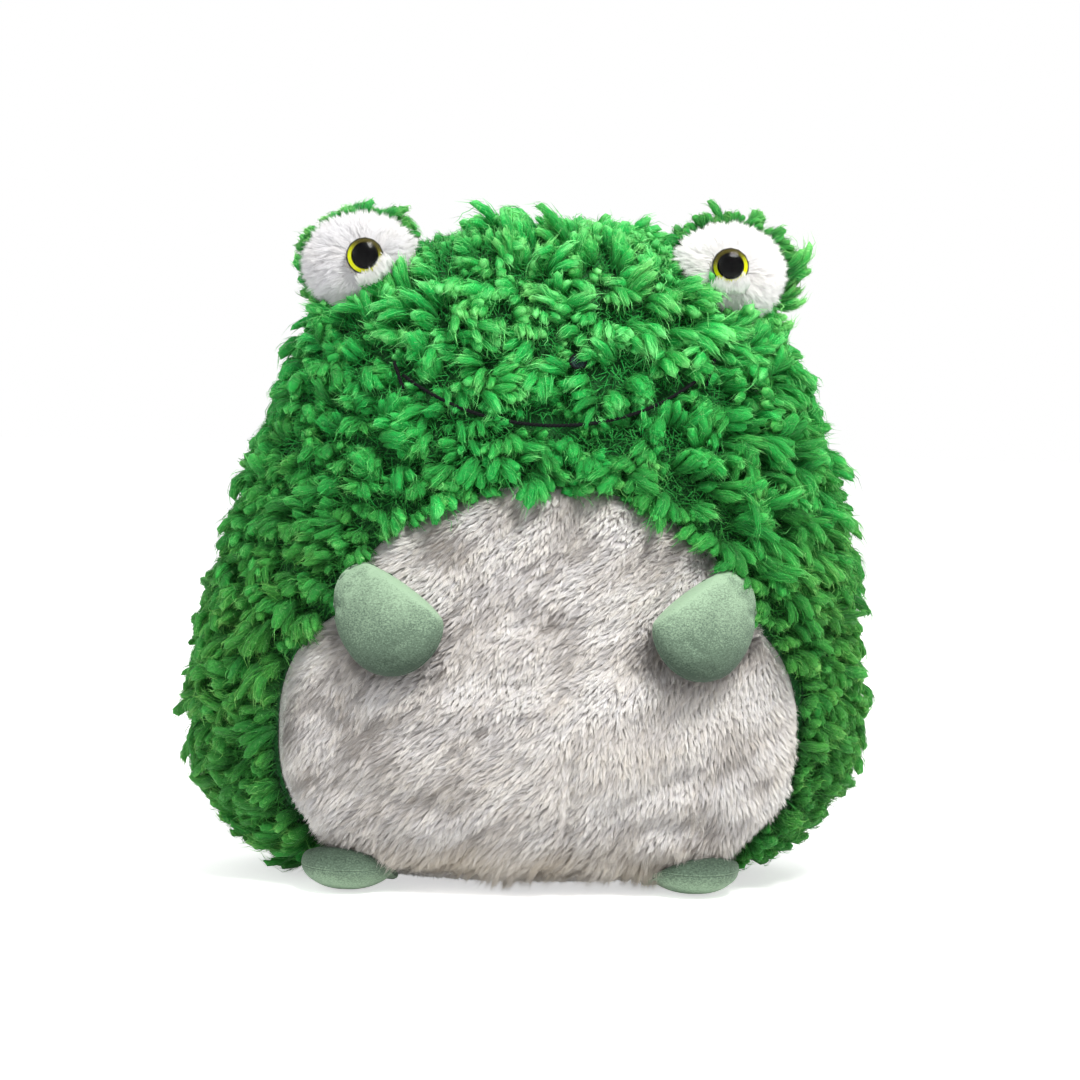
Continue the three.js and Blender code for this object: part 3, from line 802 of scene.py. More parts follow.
def wadding_finish():
    """Loose white fibre filling: streaky noise in tone and bump."""
    fluff = Finish("wadding_fluff")
    curls = fluff.noise(fluff.place((1.0, 1.0, 2.5)), 260.0, 4.0, 0.65, 1.5)
    return fluff.finish(
        Base_Color=fluff.ramp(curls, (0.3, 214, 214, 208), (0.7, 250, 250, 246)),
        Roughness=1.0,
        Normal=fluff.relief(curls, 0.0008),
        Sheen_Weight=0.3,
    )


wadding_fluff = wadding_finish()
print("backing and wadding finishes are ready")

# %% [markdown]
# ## Locks of fur
#
# A lock of this plush is a loose bunch of woolly fingers, each a few millimetres thick and blunt at its
# tip. Modelling each fibre would take millions, so a finger is a small closed core under a coat of
# hairs that follow it, come out of it and stand off, and some long hairs curl over its tip in a loop.


# %% The shape of a lock
finger_shares = np.array([0.0, 0.12, 0.40, 0.68, 0.90, 1.0])
finger_widths = np.array([0.0, 0.60, 0.90, 1.0, 0.80, 0.0])
coat_shares = np.array([0.0, 0.12, 0.40, 0.68, 0.90, 1.02, 1.3])
coat_widths = np.array([0.3, 0.62, 0.92, 1.0, 0.90, 0.55, 0.6])
finger_sides = 5
fingers_per_lock = 3
finger_girth = 0.51
hair_places = 3
hair_half_width = 0.00014
hair_run = ((0.05, 0.82), (0.2, 0.42))
hair_loft = (0.10, 0.85)
curl_places = 8
curl_half_width = 0.00013
curl_run = ((0.3, 0.6), (0.5, 0.8))
curl_loft = (0.2, 0.6)
curl_hook = (0.8, 3.4)
hair_kink = 0.00042
longest_share = 1.29
lowest_fur = 0.0004


def finger_faces():
    """Triangles of a closed finger: a fan at both ends and a band between each two rings."""
    rings = len(finger_shares) - 2
    band = triangles_of(strip_faces(rings, finger_sides, True)) + 1
    side = np.arange(finger_sides)
    ahead = (side + 1) % finger_sides
    last = 1 + (rings - 1) * finger_sides
    tip = 1 + rings * finger_sides
    root_fan = np.stack([np.zeros_like(side), ahead + 1, side + 1], -1)
    tip_fan = np.stack([np.full_like(side, tip), last + side, last + ahead], -1)
    return np.concatenate([root_fan, band, tip_fan])


def taken(values, owner):
    """Each of the values of some locks, given to every finger or hair that they own."""
    return {key: value[owner] for key, value in values.items()}


def fingers_of(locks):
    """The fingers of each lock: its own values, with a place in the bunch, a way, a length and a girth."""
    count = len(locks["roots"])
    many = count * fingers_per_lock
    own = taken(locks, np.repeat(np.arange(count), fingers_per_lock))
    slot = np.tile(np.linspace(-1.0, 1.0, fingers_per_lock), count)
    yaw = (0.14 * slot + chance.normal(0.0, 0.17, many))[:, None]
    own["combs"] = own["combs"] * np.cos(yaw) + np.cross(own["outward"], own["combs"]) * np.sin(yaw)
    own["side"] = -0.50 * slot + chance.normal(0.0, 0.15, many)
    own["rise"] = 0.3 * (1 - slot**2) + chance.normal(0.0, 0.25, many)
    own["lengths"] = own["lengths"] * (1.0 - 0.1 * slot**2 - chance.uniform(0.0, 0.28, many))
    own["lean_tip"] = own["lean_tip"] + chance.normal(0.0, 0.25, many)
    own["start"] = chance.uniform(0.0, 6.28, many)
    own["girths"] = finger_girth * own["half_widths"] * chance.uniform(0.72, 1.22, many)
    own["shade"] = own["shade"] + chance.uniform(-0.05, 0.05, many)
    own["bright"] = own["bright"] + chance.normal(0.0, 0.05, many)
    return own


def finger_lines(own, shares):
    """Middle lines of fingers at shares of their length, with the upper side and the side of each.

    The line bends as bent_lines says, lies to the side of its lock's own line and above it by its place in
    the bunch, in half widths that open from 0.5 at the root to 1, sways sideways by sway * s^2, and waves.
    """
    across = np.cross(own["combs"], own["outward"])
    line, upper = bent_lines(
        own["roots"], own["outward"], own["combs"], own["lengths"], own["lean_root"], own["lean_tip"], shares
    )
    spread = own["half_widths"][:, None] * (0.5 + 0.5 * np.minimum(shares, 1.0) ** 0.7)
    wave = own["crimp"][:, None] * np.sin(shares * own["kinks"][:, None] + own["start"][:, None])
    sway = own["sway"][:, None] * shares**2 * own["lengths"][:, None]
    sideways = own["side"][:, None] * spread + sway + wave
    upwards = own["rise"][:, None] * spread + 0.6 * wave
    return line + sideways[..., None] * across[:, None] + upwards[..., None] * upper, upper, across


def finger_bodies(own):
    """Points, triangles and map of closed fingers, with rings that are lumpy as wool is."""
    many = len(own["roots"])
    shares = np.broadcast_to(finger_shares, (many, len(finger_shares)))
    line, upper, across = finger_lines(own, shares)
    bearing = np.linspace(0.0, 2 * math.pi, finger_sides, endpoint=False)
    lumps = chance.uniform(0.82, 1.12, (many, len(finger_widths), finger_sides))
    girth = 0.92 * own["girths"][:, None, None] * finger_widths[:, None] * lumps
    c, s = np.cos(bearing)[:, None], np.sin(bearing)[:, None]
    ring = c * across[:, None, None] + 0.9 * s * upper[:, :, None]
    rings = (line[:, :, None] + girth[..., None] * ring)[:, 1:-1]
    points = np.concatenate([line[:, :1], rings.reshape(many, -1, 3), line[:, -1:]], 1)

    round_shade = 0.030 * np.abs(bearing / math.pi - 1)
    ring_shade = np.broadcast_to(own["shade"][:, None, None] + round_shade, rings.shape[:3])
    # Cores reach only 0.78 of the ramp, so they stay darker than their hairs: painted shade inside the lock.
    tip_along = 0.78 * own["bright"][:, None]
    ring_along = np.broadcast_to((tip_along * finger_shares[1:-1])[..., None], ring_shade.shape)
    ring_map = np.stack([ring_shade, ring_along], -1).reshape(many, -1, 2)
    end_maps = [np.stack([own["shade"] + 0.015, end * own["bright"]], -1)[:, None] for end in (0.0, 0.8)]
    finger_map = np.concatenate([end_maps[0], ring_map, end_maps[1]], 1)
    return points.reshape(-1, 3), copies(finger_faces(), points.shape[1], many), finger_map.reshape(-1, 2)


def pointed(line, flat, half_width, shade, along):
    """Points, triangles and map of flat hairs: two points at each place of a line but its last one."""
    count, places = line.shape[:2]
    offset = flat[:, :-1] * half_width[:, :-1, None]
    pairs = np.stack([line[:, :-1] - offset, line[:, :-1] + offset], 2).reshape(count, -1, 3)
    points = np.concatenate([pairs, line[:, -1:]], 1)
    last = 2 * places - 2
    tip = np.array([[last - 2, last - 1, last]])
    band = [triangles_of(strip_faces(places - 1, 2, False))] if places > 2 else []
    faces = copies(np.concatenate([*band, tip]), last + 1, count)
    own_map = np.stack(np.broadcast_arrays(shade[:, None], along), -1)
    hair_map = np.concatenate([np.repeat(own_map[:, :-1], 2, axis=1), own_map[:, -1:]], 1)
    return points.reshape(-1, 3), faces, hair_map.reshape(-1, 2)


def coat(fingers, per_finger, places, half_width, run, loft, curl=(0.0, 0.0)):
    """Points, triangles and map of the hairs that coat fingers.

    A hair follows its finger over the run of shares at a bearing round it, which turns as it goes. Its
    distance from the finger's middle is the coat's width there times 0.8 + loft * t, with t from 0 at its
    foot to 1 at its tip. A curl is an angle by which it hooks over further than its finger.
    """
    own = taken(fingers, np.repeat(np.arange(len(fingers["roots"])), per_finger))
    many = len(own["roots"])
    t = np.linspace(0.0, 1.0, places)
    start = chance.uniform(*run[0], (many, 1))
    shares = np.minimum(start + chance.uniform(*run[1], (many, 1)) * t, longest_share)
    own["lean_tip"] = own["lean_tip"] + chance.uniform(*curl, many)
    line, upper, across = finger_lines(own, shares)
    bearing = chance.uniform(0.0, 2 * math.pi, (many, 1)) + chance.normal(0.0, 0.5, (many, 1)) * t
    bearing = bearing[..., None]
    out = np.cos(bearing) * across[:, None] + np.sin(bearing) * upper
    side = np.cos(bearing) * upper - np.sin(bearing) * across[:, None]
    width = own["girths"][:, None] * np.interp(shares, coat_shares, coat_widths)
    away = width * (0.8 + chance.uniform(*loft, (many, 1)) * t)
    kink = chance.normal(0.0, hair_kink, (many, places)) * np.minimum(2 * t, 1.0)
    roll = chance.normal(0.0, 0.5, (many, 1, 1))
    flat = side * np.cos(roll) + out * np.sin(roll)
    # Hairs sit lower on the ramp at their feet and higher at their tips: painted shade and painted light.
    along = np.clip((0.22 + 0.50 * shares + 0.30 * t) * own["bright"][:, None], 0.0, 1.0)
    own_shade = own["shade"] + chance.uniform(-0.06, 0.06, many)
    widths = half_width * chance.uniform(0.7, 1.3, (many, 1)) * np.ones(places)
    return pointed(line + away[..., None] * out + kink[..., None] * side, flat, widths, own_shade, along)


def joined(*parts):
    """Several meshes of triangles as one: points, faces and map."""
    made, faces = 0, []
    for points, triangles, _ in parts:
        faces.append(triangles + made)
        made += len(points)
    points = np.concatenate([part[0] for part in parts])
    points[:, 2] = np.maximum(points[:, 2], lowest_fur)
    return points, np.concatenate(faces), np.concatenate([part[2] for part in parts])


print("a core has", len(finger_faces()), "triangles and a hair", 2 * hair_places - 3)

# %% [markdown]
# ## The green cover
#
# Three panels make the shaggy cover: one in front, with the belly's opening, and two behind that meet in a
# seam down the back. Each is a knitted skin under its locks. On the flanks the locks lie outwards and
# down, on the crown they stand up and outwards, and on the face each leans its own way.

# %% Sizes of the locks and of the face
lock_spacing = 0.0087
lock_rise = 0.0112
lock_longest = 0.0250
lock_half_width = 0.0054
lock_lean_root = math.radians(18)
mouth_half_width = 0.067
mouth_low = 0.198
mouth_rise = 0.024
mouth_curl = 0.2
nostril_x = 0.0117
nostril_z = 0.225
nostril_clear = 0.0035
right_nostril_nearer = 0.003
arm_root = np.array([0.083, 0.1345])
arm_tip = np.array([0.0478, 0.1012])
arm_half_width = 0.0205
arm_middle_run = (0.35, 0.65)
furless_under_arm = 0.012
furless_in_bump = 0.004
lock_crimp = 0.0004
bump_z = head_top - 0.021
bump_forward = 0.014
bump_half = np.array([0.0275, 0.024, 0.0245])
bump_x = float(front_level(np.array(bump_z))[0])
bump_place = np.array([bump_x, middle_y - bump_forward, bump_z])
print("the eye bumps stand at x = +-", round(bump_x, 4), "z =", round(bump_z, 4))


# %% How the green pile is combed
def comb_field(points):
    """Where the pile leans: outwards and down on the flanks, up and outwards on the crown.

    Beside a bump it leans against the bump, and beside the belly over the belly's edge.
    """
    x, y, z = points.T
    lift = -0.45 + 1.3 * ease(0.235, 0.285, z)
    flow = np.stack([x / 0.10 - 0.12, 0.5 * (y - middle_y) / 0.09, lift], -1)
    bump = np.stack([np.sign(x), np.ones_like(x), np.ones_like(x)], -1) * bump_place
    near = fall(0.0, 0.018, bump_gap(points))[:, None]
    flow = flow * (1 - near) + unit(bump - points) * near
    inwards = unit(np.stack([-x, np.zeros_like(x), 0.09 - z], -1))
    edge = (fall(0.0, 0.010, -belly_region(points)) * ease(0.09, 0.14, z))[:, None]
    return flow * (1 - edge) + 1.2 * inwards * edge


def drift(points):
    """Slow turn of the pile from place to place, in radians: a sum of sines a few centimetres long."""
    x, y, z = points.T
    slow = np.sin(95 * x + 40 * z + 1.3) + np.sin(70 * z - 55 * y + 4.0) + np.sin(120 * y + 80 * x + 2.1)
    return 0.18 * slow


def mouth_height(x):
    """Height of the mouth's line: low + rise * (0.8 u^2 + 0.2 u^4), with u the share of its half width."""
    u = x / mouth_half_width
    return mouth_low + mouth_rise * ((1 - mouth_curl) * u**2 + mouth_curl * u**4)


def face_gap(points):
    """Distance of each place from the mouth's line or a nostril's rim, seen from the front."""
    x, y, z = points.T
    along = np.clip(x, -mouth_half_width, mouth_half_width)
    slope = 2 * mouth_rise * along / mouth_half_width**2
    mouth = np.hypot(x - along, (z - mouth_height(along)) / np.sqrt(1 + slope**2))
    nostril = np.hypot(np.abs(x) - nostril_x, z - nostril_z) - nostril_clear + right_nostril_nearer * (x < 0)
    return np.where(y < middle_y, np.minimum(mouth, np.maximum(nostril, 0.0)), 1.0)


def arm_gap(points):
    """Distance of each place from an arm's middle line, seen from the front, less the arm's half width."""
    x, y, z = points.T
    spot = np.stack([np.abs(x), z], -1) - arm_root
    line = arm_tip - arm_root
    share = np.clip((spot @ line) / (line @ line), *arm_middle_run)
    gap = np.linalg.norm(spot - share[:, None] * line, axis=1) - arm_half_width
    return np.where(y < middle_y, gap, 1.0)


def bump_gap(points):
    """How far outside an eye bump a place lies, in metres."""
    folded = np.stack([np.abs(points[:, 0]), points[:, 1], points[:, 2]], -1)
    return (np.linalg.norm((folded - bump_place) / bump_half, axis=1) - 1) * bump_half.min()


def fullness(points):
    """How far the pile stands: this frog was sewn by hand, so its outline isn't the same on both sides."""
    x, _, z = points.T
    side = ease(0.03, 0.12, np.abs(x))
    upper = ease(0.105, 0.145, z) * fall(0.255, 0.275, z)
    low = fall(0.04, 0.07, z)
    flank = ease(0.04, 0.07, z) * fall(0.13, 0.16, z)
    left = upper * (0.7 + 0.1 * ease(0.21, 0.24, z)) - 0.5 * low - 0.25 * flank
    right = upper * (-0.35 + 0.45 * ease(0.232, 0.244, z)) - 0.1 * low + 0.2 * flank
    below_bump = ease(0.226, 0.236, z) * fall(0.252, 0.262, z)
    return 1 + side * np.where(x > 0, left + 0.9 * below_bump, right + 0.5 * below_bump)


def head_share(places):
    """How far places lie up the body, from 0 under the arms to 1 on the head."""
    return ease(0.09, 0.23, places[:, 2])


def uncovered(places):
    """Which places lie neither under an arm nor in an eye bump."""
    return (arm_gap(places) > -furless_under_arm) & (bump_gap(places) > -furless_in_bump)


# %% Grow the locks of one region
def reach_for(rise, lean_root, lean_tip):
    """Length of a bent line that rises so far: rise over the mean of cos a."""
    upright = bend_sums(lean_root, lean_tip)[0]
    return rise / np.maximum(upright.max(1), 0.5)


def green_locks(region):
    """Roots, directions, lean and size of the locks in a region of the body."""
    points, quads = panel(region, fur_depth)
    roots, outward = scatter(points, quads, lock_spacing)
    open_air = uncovered(roots)
    roots, outward = roots[open_air], outward[open_air]
    count = len(roots)
    face = np.where(roots[:, 1] < middle_y, ease(0.13, 0.20, roots[:, 2]), 0.4)
    near_belly = fall(0.0, 0.010, -belly_region(roots))
    swirl = drift(roots) * (1 + face) + chance.normal(0.0, 1.0, count) * (0.42 + 0.7 * face)
    combs = combed(outward, comb_field(roots), swirl * (1 - 0.7 * near_belly))
    lean_root = lock_lean_root + chance.normal(0.0, 0.14, count)
    lean_tip = np.radians(chance.uniform(54.0, 124.0, count))
    near_edge = fall(0.0, 0.012, region(roots))
    lean_tip = lean_tip - 0.25 * near_edge
    lengths = reach_for(lock_rise * fullness(roots) * chance.uniform(0.72, 1.25, count), lean_root, lean_tip)
    lengths = np.minimum(lengths, lock_longest * chance.uniform(0.85, 1.0, count))
    half_widths = lock_half_width * chance.uniform(0.75, 1.2, count)

    near_bump = fall(0.002, 0.012, bump_gap(roots))
    lean_tip = lean_tip - 0.3 * near_bump
    below_bump = fall(0.228, 0.250, roots[:, 2])
    lengths = lengths * (1 + (0.5 * below_bump - 0.15) * near_bump)
    crown_side = np.maximum(ease(0.016, 0.040, -roots[:, 0]), ease(0.038, 0.056, roots[:, 0]))
    lengths = lengths * (1 - 0.68 * crown_side * ease(0.248, 0.264, roots[:, 2]))
    near_face = fall(0.002, 0.010, face_gap(roots))
    lengths = lengths * (1 - chance.uniform(0.22, 0.52, count) * near_face)
    half_widths = half_widths * (1 - 0.25 * near_face)
    near_arm = fall(-0.006, 0.004, arm_gap(roots))
    lengths = lengths * (1 - 0.35 * near_arm)
    near_floor = fall(0.012, 0.045, roots[:, 2])
    lengths = lengths * (1 + 0.2 * near_floor)
    middle = fall(0.05, 0.12, np.abs(roots[:, 0]))
    shade = 0.14 + 0.5 * head_share(roots) + 0.18 * middle + chance.normal(0.0, 0.10, count)
    # Painted light: the locks are lighter high on the head, most in its middle, where light from above
    # falls.
    lit = 0.82 + 0.26 * ease(0.195, 0.245, roots[:, 2]) * (0.35 + 0.65 * middle)
    return {
        "roots": roots,
        "outward": outward,
        "combs": combs,
        "lengths": lengths,
        "half_widths": half_widths,
        "shade": np.clip(shade, 0.12, 0.88),
        "bright": lit + chance.normal(0.0, 0.05, count),
        "lean_root": lean_root,
        "lean_tip": np.clip(lean_tip, lean_root + 0.3, 2.5),
        "sway": chance.normal(0.0, 0.2, count),
        "crimp": np.full(count, lock_crimp),
        "kinks": chance.uniform(12.0, 22.0, count),
    }


def part_of(locks, chosen):
    """The chosen ones of some locks."""
    return {key: values[chosen] for key, values in locks.items()}


def fur_piece(name, locks, hairs, loops):
    """Piece of green pile made of locks, with so many hairs and loops on each finger."""
    fingers = fingers_of(locks)
    coated = coat(fingers, hairs, hair_places, hair_half_width, hair_run, hair_loft)
    curls = coat(fingers, loops, curl_places, curl_half_width, curl_run, curl_loft, curl_hook)
    return strand_piece(name, joined(finger_bodies(fingers), coated, curls), green_pile, "green_fur")


under_spacing = 0.001
under_widths = [0.0003, 0.00024, 0.0]
under_tones = [0.10, 0.34, 0.6]
under_lengths = (0.005, 0.0095)
under_leans = (0.2, 1.1)
thread_clear = 0.003
front_crowd = 0.36
back_crowd = 0.2


def under_fur(name, region, crowd):
    """Short fibres between the locks, which hide the backing."""
    points, quads = panel(region, fur_depth)
    roots, outward = scatter(points, quads, under_spacing, crowd, thin=False)
    open_air = uncovered(roots) & (face_gap(roots) > thread_clear)
    roots, outward = roots[open_air], outward[open_air]
    count = len(roots)
    combs = combed(outward, comb_field(roots), chance.normal(0.0, 1.2, count))
    size = chance.uniform(*under_lengths, count)[:, None]
    lean = chance.uniform(*under_leans, count)[:, None]
    tips = roots + size * (np.cos(lean) * outward + np.sin(lean) * combs)
    line = np.stack([roots, roots + 0.5 * size * outward, tips], 1)
    flat = np.repeat(np.cross(combs, outward)[:, None], 3, 1)
    shade = 0.14 + 0.6 * head_share(roots) + chance.normal(0.0, 0.08, count)
    # The tones keep these fibres low on the pile's ramp, in its painted shade between the locks.
    widths, along = (np.tile(row, (count, 1)) for row in (under_widths, under_tones))
    strands = pointed(line, flat, widths, np.clip(shade, 0.1, 0.9), along)
    return strand_piece(name, strands, green_pile, "green_fur")


# %% The front panel and its fur
front_hairs = 48
front_loops = 3
face_from = 0.185
points, quads = panel(front_region, fur_depth)
backing_piece("front_fur_backing", points, quads, green_knit, "green_fur", "front_fur_panel")
locks = green_locks(front_region)
is_left = locks["roots"][:, 0] >= 0
is_high = locks["roots"][:, 2] > face_from
for part, level in (("flank", ~is_high), ("face", is_high)):
    for name, aside in (("right", ~is_left), ("left", is_left)):
        fur_piece(f"front_fur_{name}_{part}", part_of(locks, aside & level), front_hairs, front_loops)
under_fur("front_under_fur", front_region, front_crowd)

# %% The back panels and their fur
back_hairs = 24
back_loops = 1
upper_from = 0.13
for side, name in both_sides[::-1]:
    region = back_region(side)
    points, quads = panel(region, fur_depth)
    node = f"back_fur_panel_{name}"
    backing_piece(f"back_fur_backing_{name}", points, quads, green_knit, "green_fur", node)
    locks = green_locks(region)
    is_high = locks["roots"][:, 2] > upper_from
    for part, level in (("upper", is_high), ("lower", ~is_high)):
        fur_piece(f"back_fur_{name}_{part}", part_of(locks, level), back_hairs, back_loops)
    under_fur(f"back_under_fur_{name}", region, back_crowd)

# %% [markdown]
# ## Belly and seat
#
# The belly is a short dense plush, brushed by hands into streaks and patches. Its cover is drawn in by a
# pleat at the top, a crease up the middle of its lower half and soft folds that fan out from there. These
# folds are sums of narrow valleys, pressed into the skin before the pile is planted on it. Each has a
# start and an end, across and up, a width and a depth. The cover also turns down to the seam all round,
# as a stuffed panel does.

# %% Folds of the belly
def valley(x, z, start, end, width, depth):
    """Groove along a line between two places: depth * exp(-(distance / width)^2), fading at its ends."""
    start, end = np.array(start), np.array(end)
    line = end - start
    share = ((x - start[0]) * line[0] + (z - start[1]) * line[1]) / (line @ line)
    kept = np.clip(share, 0.0, 1.0)
    gap = np.hypot(x - start[0] - kept * line[0], z - start[1] - kept * line[1])
    fade = np.clip(1.15 - np.abs(2 * kept - 1) ** 3, 0.0, 1.0)
    return depth * fade * np.exp(-((gap / width) ** 2))


def soft_noise(u, v, start):
    """Smooth random number from -1 to 1 over a plane.

    It is a random number at each corner of a net of unit squares, eased from corner to corner.
    """
    size = 128
    net = np.random.default_rng(start).uniform(-1.0, 1.0, (size, size))
    left, low = np.floor(u).astype(int), np.floor(v).astype(int)
    s, t = ease(0.0, 1.0, u - left), ease(0.0, 1.0, v - low)
    near, far = left % size, (left + 1) % size
    low, high = low % size, (low + 1) % size
    below = net[near, low] * (1 - s) + net[far, low] * s
    above = net[near, high] * (1 - s) + net[far, high] * s
    return below * (1 - t) + above * t


def brushed(points, across, along, start, turn=0.62):
    """Soft noise whose patches are stretched along the way the belly is brushed, turned from upright."""
    x, z = points[:, 0], points[:, 2]
    u = x * math.cos(turn) - z * math.sin(turn)
    v = x * math.sin(turn) + z * math.cos(turn)
    return soft_noise(u / across, v / along, start)


belly_folds = [
    ((0.014, 0.014), (0.012, 0.066), 0.0040, 0.0046),
    ((0.012, 0.150), (0.016, 0.172), 0.0048, 0.0046),
    ((-0.012, 0.152), (-0.016, 0.170), 0.0050, 0.0038),
    ((0.018, 0.036), (0.070, 0.058), 0.0065, 0.0040),
    ((0.018, 0.030), (0.085, 0.034), 0.0065, 0.0040),
    ((0.016, 0.020), (0.074, 0.014), 0.0055, 0.0034),
    ((0.030, 0.074), (0.088, 0.088), 0.0075, 0.0030),
    ((-0.088, 0.050), (-0.030, 0.036), 0.0075, 0.0034),
    ((-0.092, 0.074), (-0.050, 0.070), 0.0070, 0.0030),
    ((-0.070, 0.026), (-0.020, 0.020), 0.0065, 0.0032),
    ((-0.022, 0.118), (0.034, 0.114), 0.0060, 0.0038),
    ((-0.006, 0.104), (0.040, 0.100), 0.0055, 0.0034),
    ((-0.040, 0.090), (0.010, 0.094), 0.0065, 0.0028),
]
belly_least_depth = 0.0008
belly_turn_down = 0.0055
belly_turn_width = 0.010


def belly_depth_at(points):
    """How deep the folds, the hollows of the filling and the turned edge lie, in metres."""
    x, _, z = points.T
    folds = sum(valley(x, z, *fold) for fold in belly_folds)
    hollows = 0.0011 * brushed(points, 0.015, 0.024, 5, 1.2) + 0.0005 * brushed(points, 0.007, 0.012, 6, 1.0)
    turned = belly_turn_down * fall(-0.002, belly_turn_width, belly_shape(x, z)) ** 2
    return np.maximum(folds + hollows + belly_least_depth, 0.0) + turned


skin, belly_quads = panel(belly_region, belly_depth)
belly_points = skin - skin_normals(skin, belly_quads) * belly_depth_at(skin)[:, None]
belly_points[:, 2] = np.maximum(belly_points[:, 2], floor_gap)
belly = backing_piece("belly_cover", belly_points, belly_quads, white_knit, "white_plush", "belly_panel")

# %% [markdown]
# The pile of the belly stands in tiny tufts: the hairs of each start a millimetre apart and meet at its
# tip. A tuft leans as its neighbours do, and that way drifts from patch to patch, which makes the brushed
# look, and the patches are also given painted sheen and shade in their colour. A hair is one pointed
# triangle, so that there can be many.

# %% Pile of the belly and of the seat
foot_x = 0.072
feet_aside = 0.006
tuft_spacing = 0.00138
tuft_spread = 0.0008
tuft_gather = 0.50
hairs_per_tuft = 14
pile_length = 0.0050
pile_half_width = 0.00017
lowest_pile = 0.0003
belly_lean = math.radians(66)
belly_parted_at = 0.080
seat_lean = math.radians(76)
seat_spacing = 0.0021
seat_hairs_per_tuft = 6
seat_pile_length = 0.0040
seat_pile_half_width = 0.00028
plush_slot = "white_plush"


def tufted(
    roots, outward, combs, lengths, leans, shade, bright, per_tuft, half_width, foot_share=0.3, loose=1.0
):
    """Points, triangles and map of tufts of straight hairs.

    A hair starts at its tuft's root plus a random offset along the skin, and ends at the tuft's tip, which
    is length * (cos(lean) * outward + sin(lean) * comb) away, plus gather times the same offset.
    """
    owner = np.repeat(np.arange(len(roots)), per_tuft)
    many = len(owner)
    across = np.cross(combs, outward)[owner]
    bearing = chance.uniform(0.0, 2 * math.pi, (many, 1))
    reach = loose * tuft_spread * np.sqrt(chance.random((many, 1)))
    offset = reach * (np.cos(bearing) * combs[owner] + np.sin(bearing) * across)
    lean = (leans[owner] + chance.normal(0.0, 0.10, many))[:, None]
    way = np.cos(lean) * outward[owner] + np.sin(lean) * combs[owner]
    size = (lengths[owner] * chance.uniform(0.7, 1.12, many))[:, None]
    foot = roots[owner] + offset
    tip = roots[owner] + tuft_gather * offset + size * way
    ends = np.stack([foot, tip], 1)
    ends[..., 2] = np.maximum(ends[..., 2], lowest_pile)
    own_shade = np.clip(shade[owner] + chance.uniform(-0.06, 0.06, many), 0.02, 0.98)
    # Hair feet sit lower on the ramp than tips: painted shade at the roots.
    along = bright[owner][:, None] * np.array([foot_share, 1.0])
    return pointed(ends, np.repeat(across[:, None], 2, 1), np.full((many, 2), half_width), own_shade, along)


def belly_comb(points):
    """The belly is brushed down and to the frog's right, and straight down at the lower left."""
    x, _, z = points.T
    aside = -0.40 + 0.34 * ease(0.0, 0.08, x) * fall(0.07, 0.13, z)
    return np.stack([aside, np.zeros_like(x), np.full_like(x, -0.5)], -1)


roots, outward = scatter(belly_points, belly_quads, tuft_spacing, crowd=9.0)
count = len(roots)
streaks = 0.7 * brushed(roots, 0.0013, 0.0042, 1) + 0.6 * brushed(roots, 0.0028, 0.0075, 4)
patches = brushed(roots, 0.009, 0.015, 2, 0.9)
swirl = 0.45 * brushed(roots, 0.022, 0.03, 3) + 0.35 * streaks + chance.normal(0.0, 0.16, count)
combs = combed(outward, belly_comb(roots), swirl)
leans = belly_lean - 0.22 * streaks - 0.20 * patches + chance.normal(0.0, 0.07, count)
leans = np.clip(leans, 0.45, 1.42)
low_strip = fall(0.014, 0.03, roots[:, 2])
shade = 0.64 + 0.16 * patches - 0.38 * low_strip + chance.normal(0.0, 0.07, count)
bands = brushed(roots, 0.013, 0.030, 7, 1.35)
# Painted light and shade on the belly's pile: darker at negative x and at the top under the head, lighter
# along the low strip, and painted sheen of the brushed streaks, patches and bands.
aside = ease(-0.08, 0.02, roots[:, 0]) - 0.5 * ease(0.04, 0.09, roots[:, 0])
lit = 0.64 + 0.14 * aside - 0.16 * ease(0.11, 0.16, roots[:, 2]) + 0.18 * low_strip
painted_pile_sheen = 0.46 * streaks + 0.42 * patches + 0.24 * bands
bright = lit + (1 - 0.7 * low_strip) * painted_pile_sheen + chance.normal(0.0, 0.07, count)
bright = np.clip(bright, 0.12, 1.0)
# Beside each arm the pile stands up and is darkened: painted shadow of the arm.
beside_arm = fall(0.0005, 0.005, arm_gap(roots)) * fall(0.114, 0.126, roots[:, 2])
leans = leans - 0.5 * beside_arm
bright = np.maximum(bright - 0.2 * beside_arm, 0.1)
foot_side = fall(0.017, 0.030, np.abs(np.abs(roots[:, 0] + feet_aside) - foot_x))
over_foot = foot_side * fall(0.018, 0.036, roots[:, 2])
last_row = fall(0.006, 0.015, roots[:, 2])
longer = 0.5 * low_strip + 0.4 * last_row + 0.4 * beside_arm + 0.6 * over_foot
lengths = pile_length * chance.uniform(0.8, 1.15, count) * (1 + longer)
leans = leans - 0.75 * np.maximum(over_foot, last_row)
is_high = roots[:, 2] > belly_parted_at
for part, level in (("upper", is_high), ("lower", ~is_high)):
    planted = [values[level] for values in (roots, outward, combs, lengths, leans, shade, bright)]
    tufts = tufted(*planted, hairs_per_tuft, pile_half_width)
    strand_piece(f"belly_pile_{part}", tufts, white_pile, plush_slot)

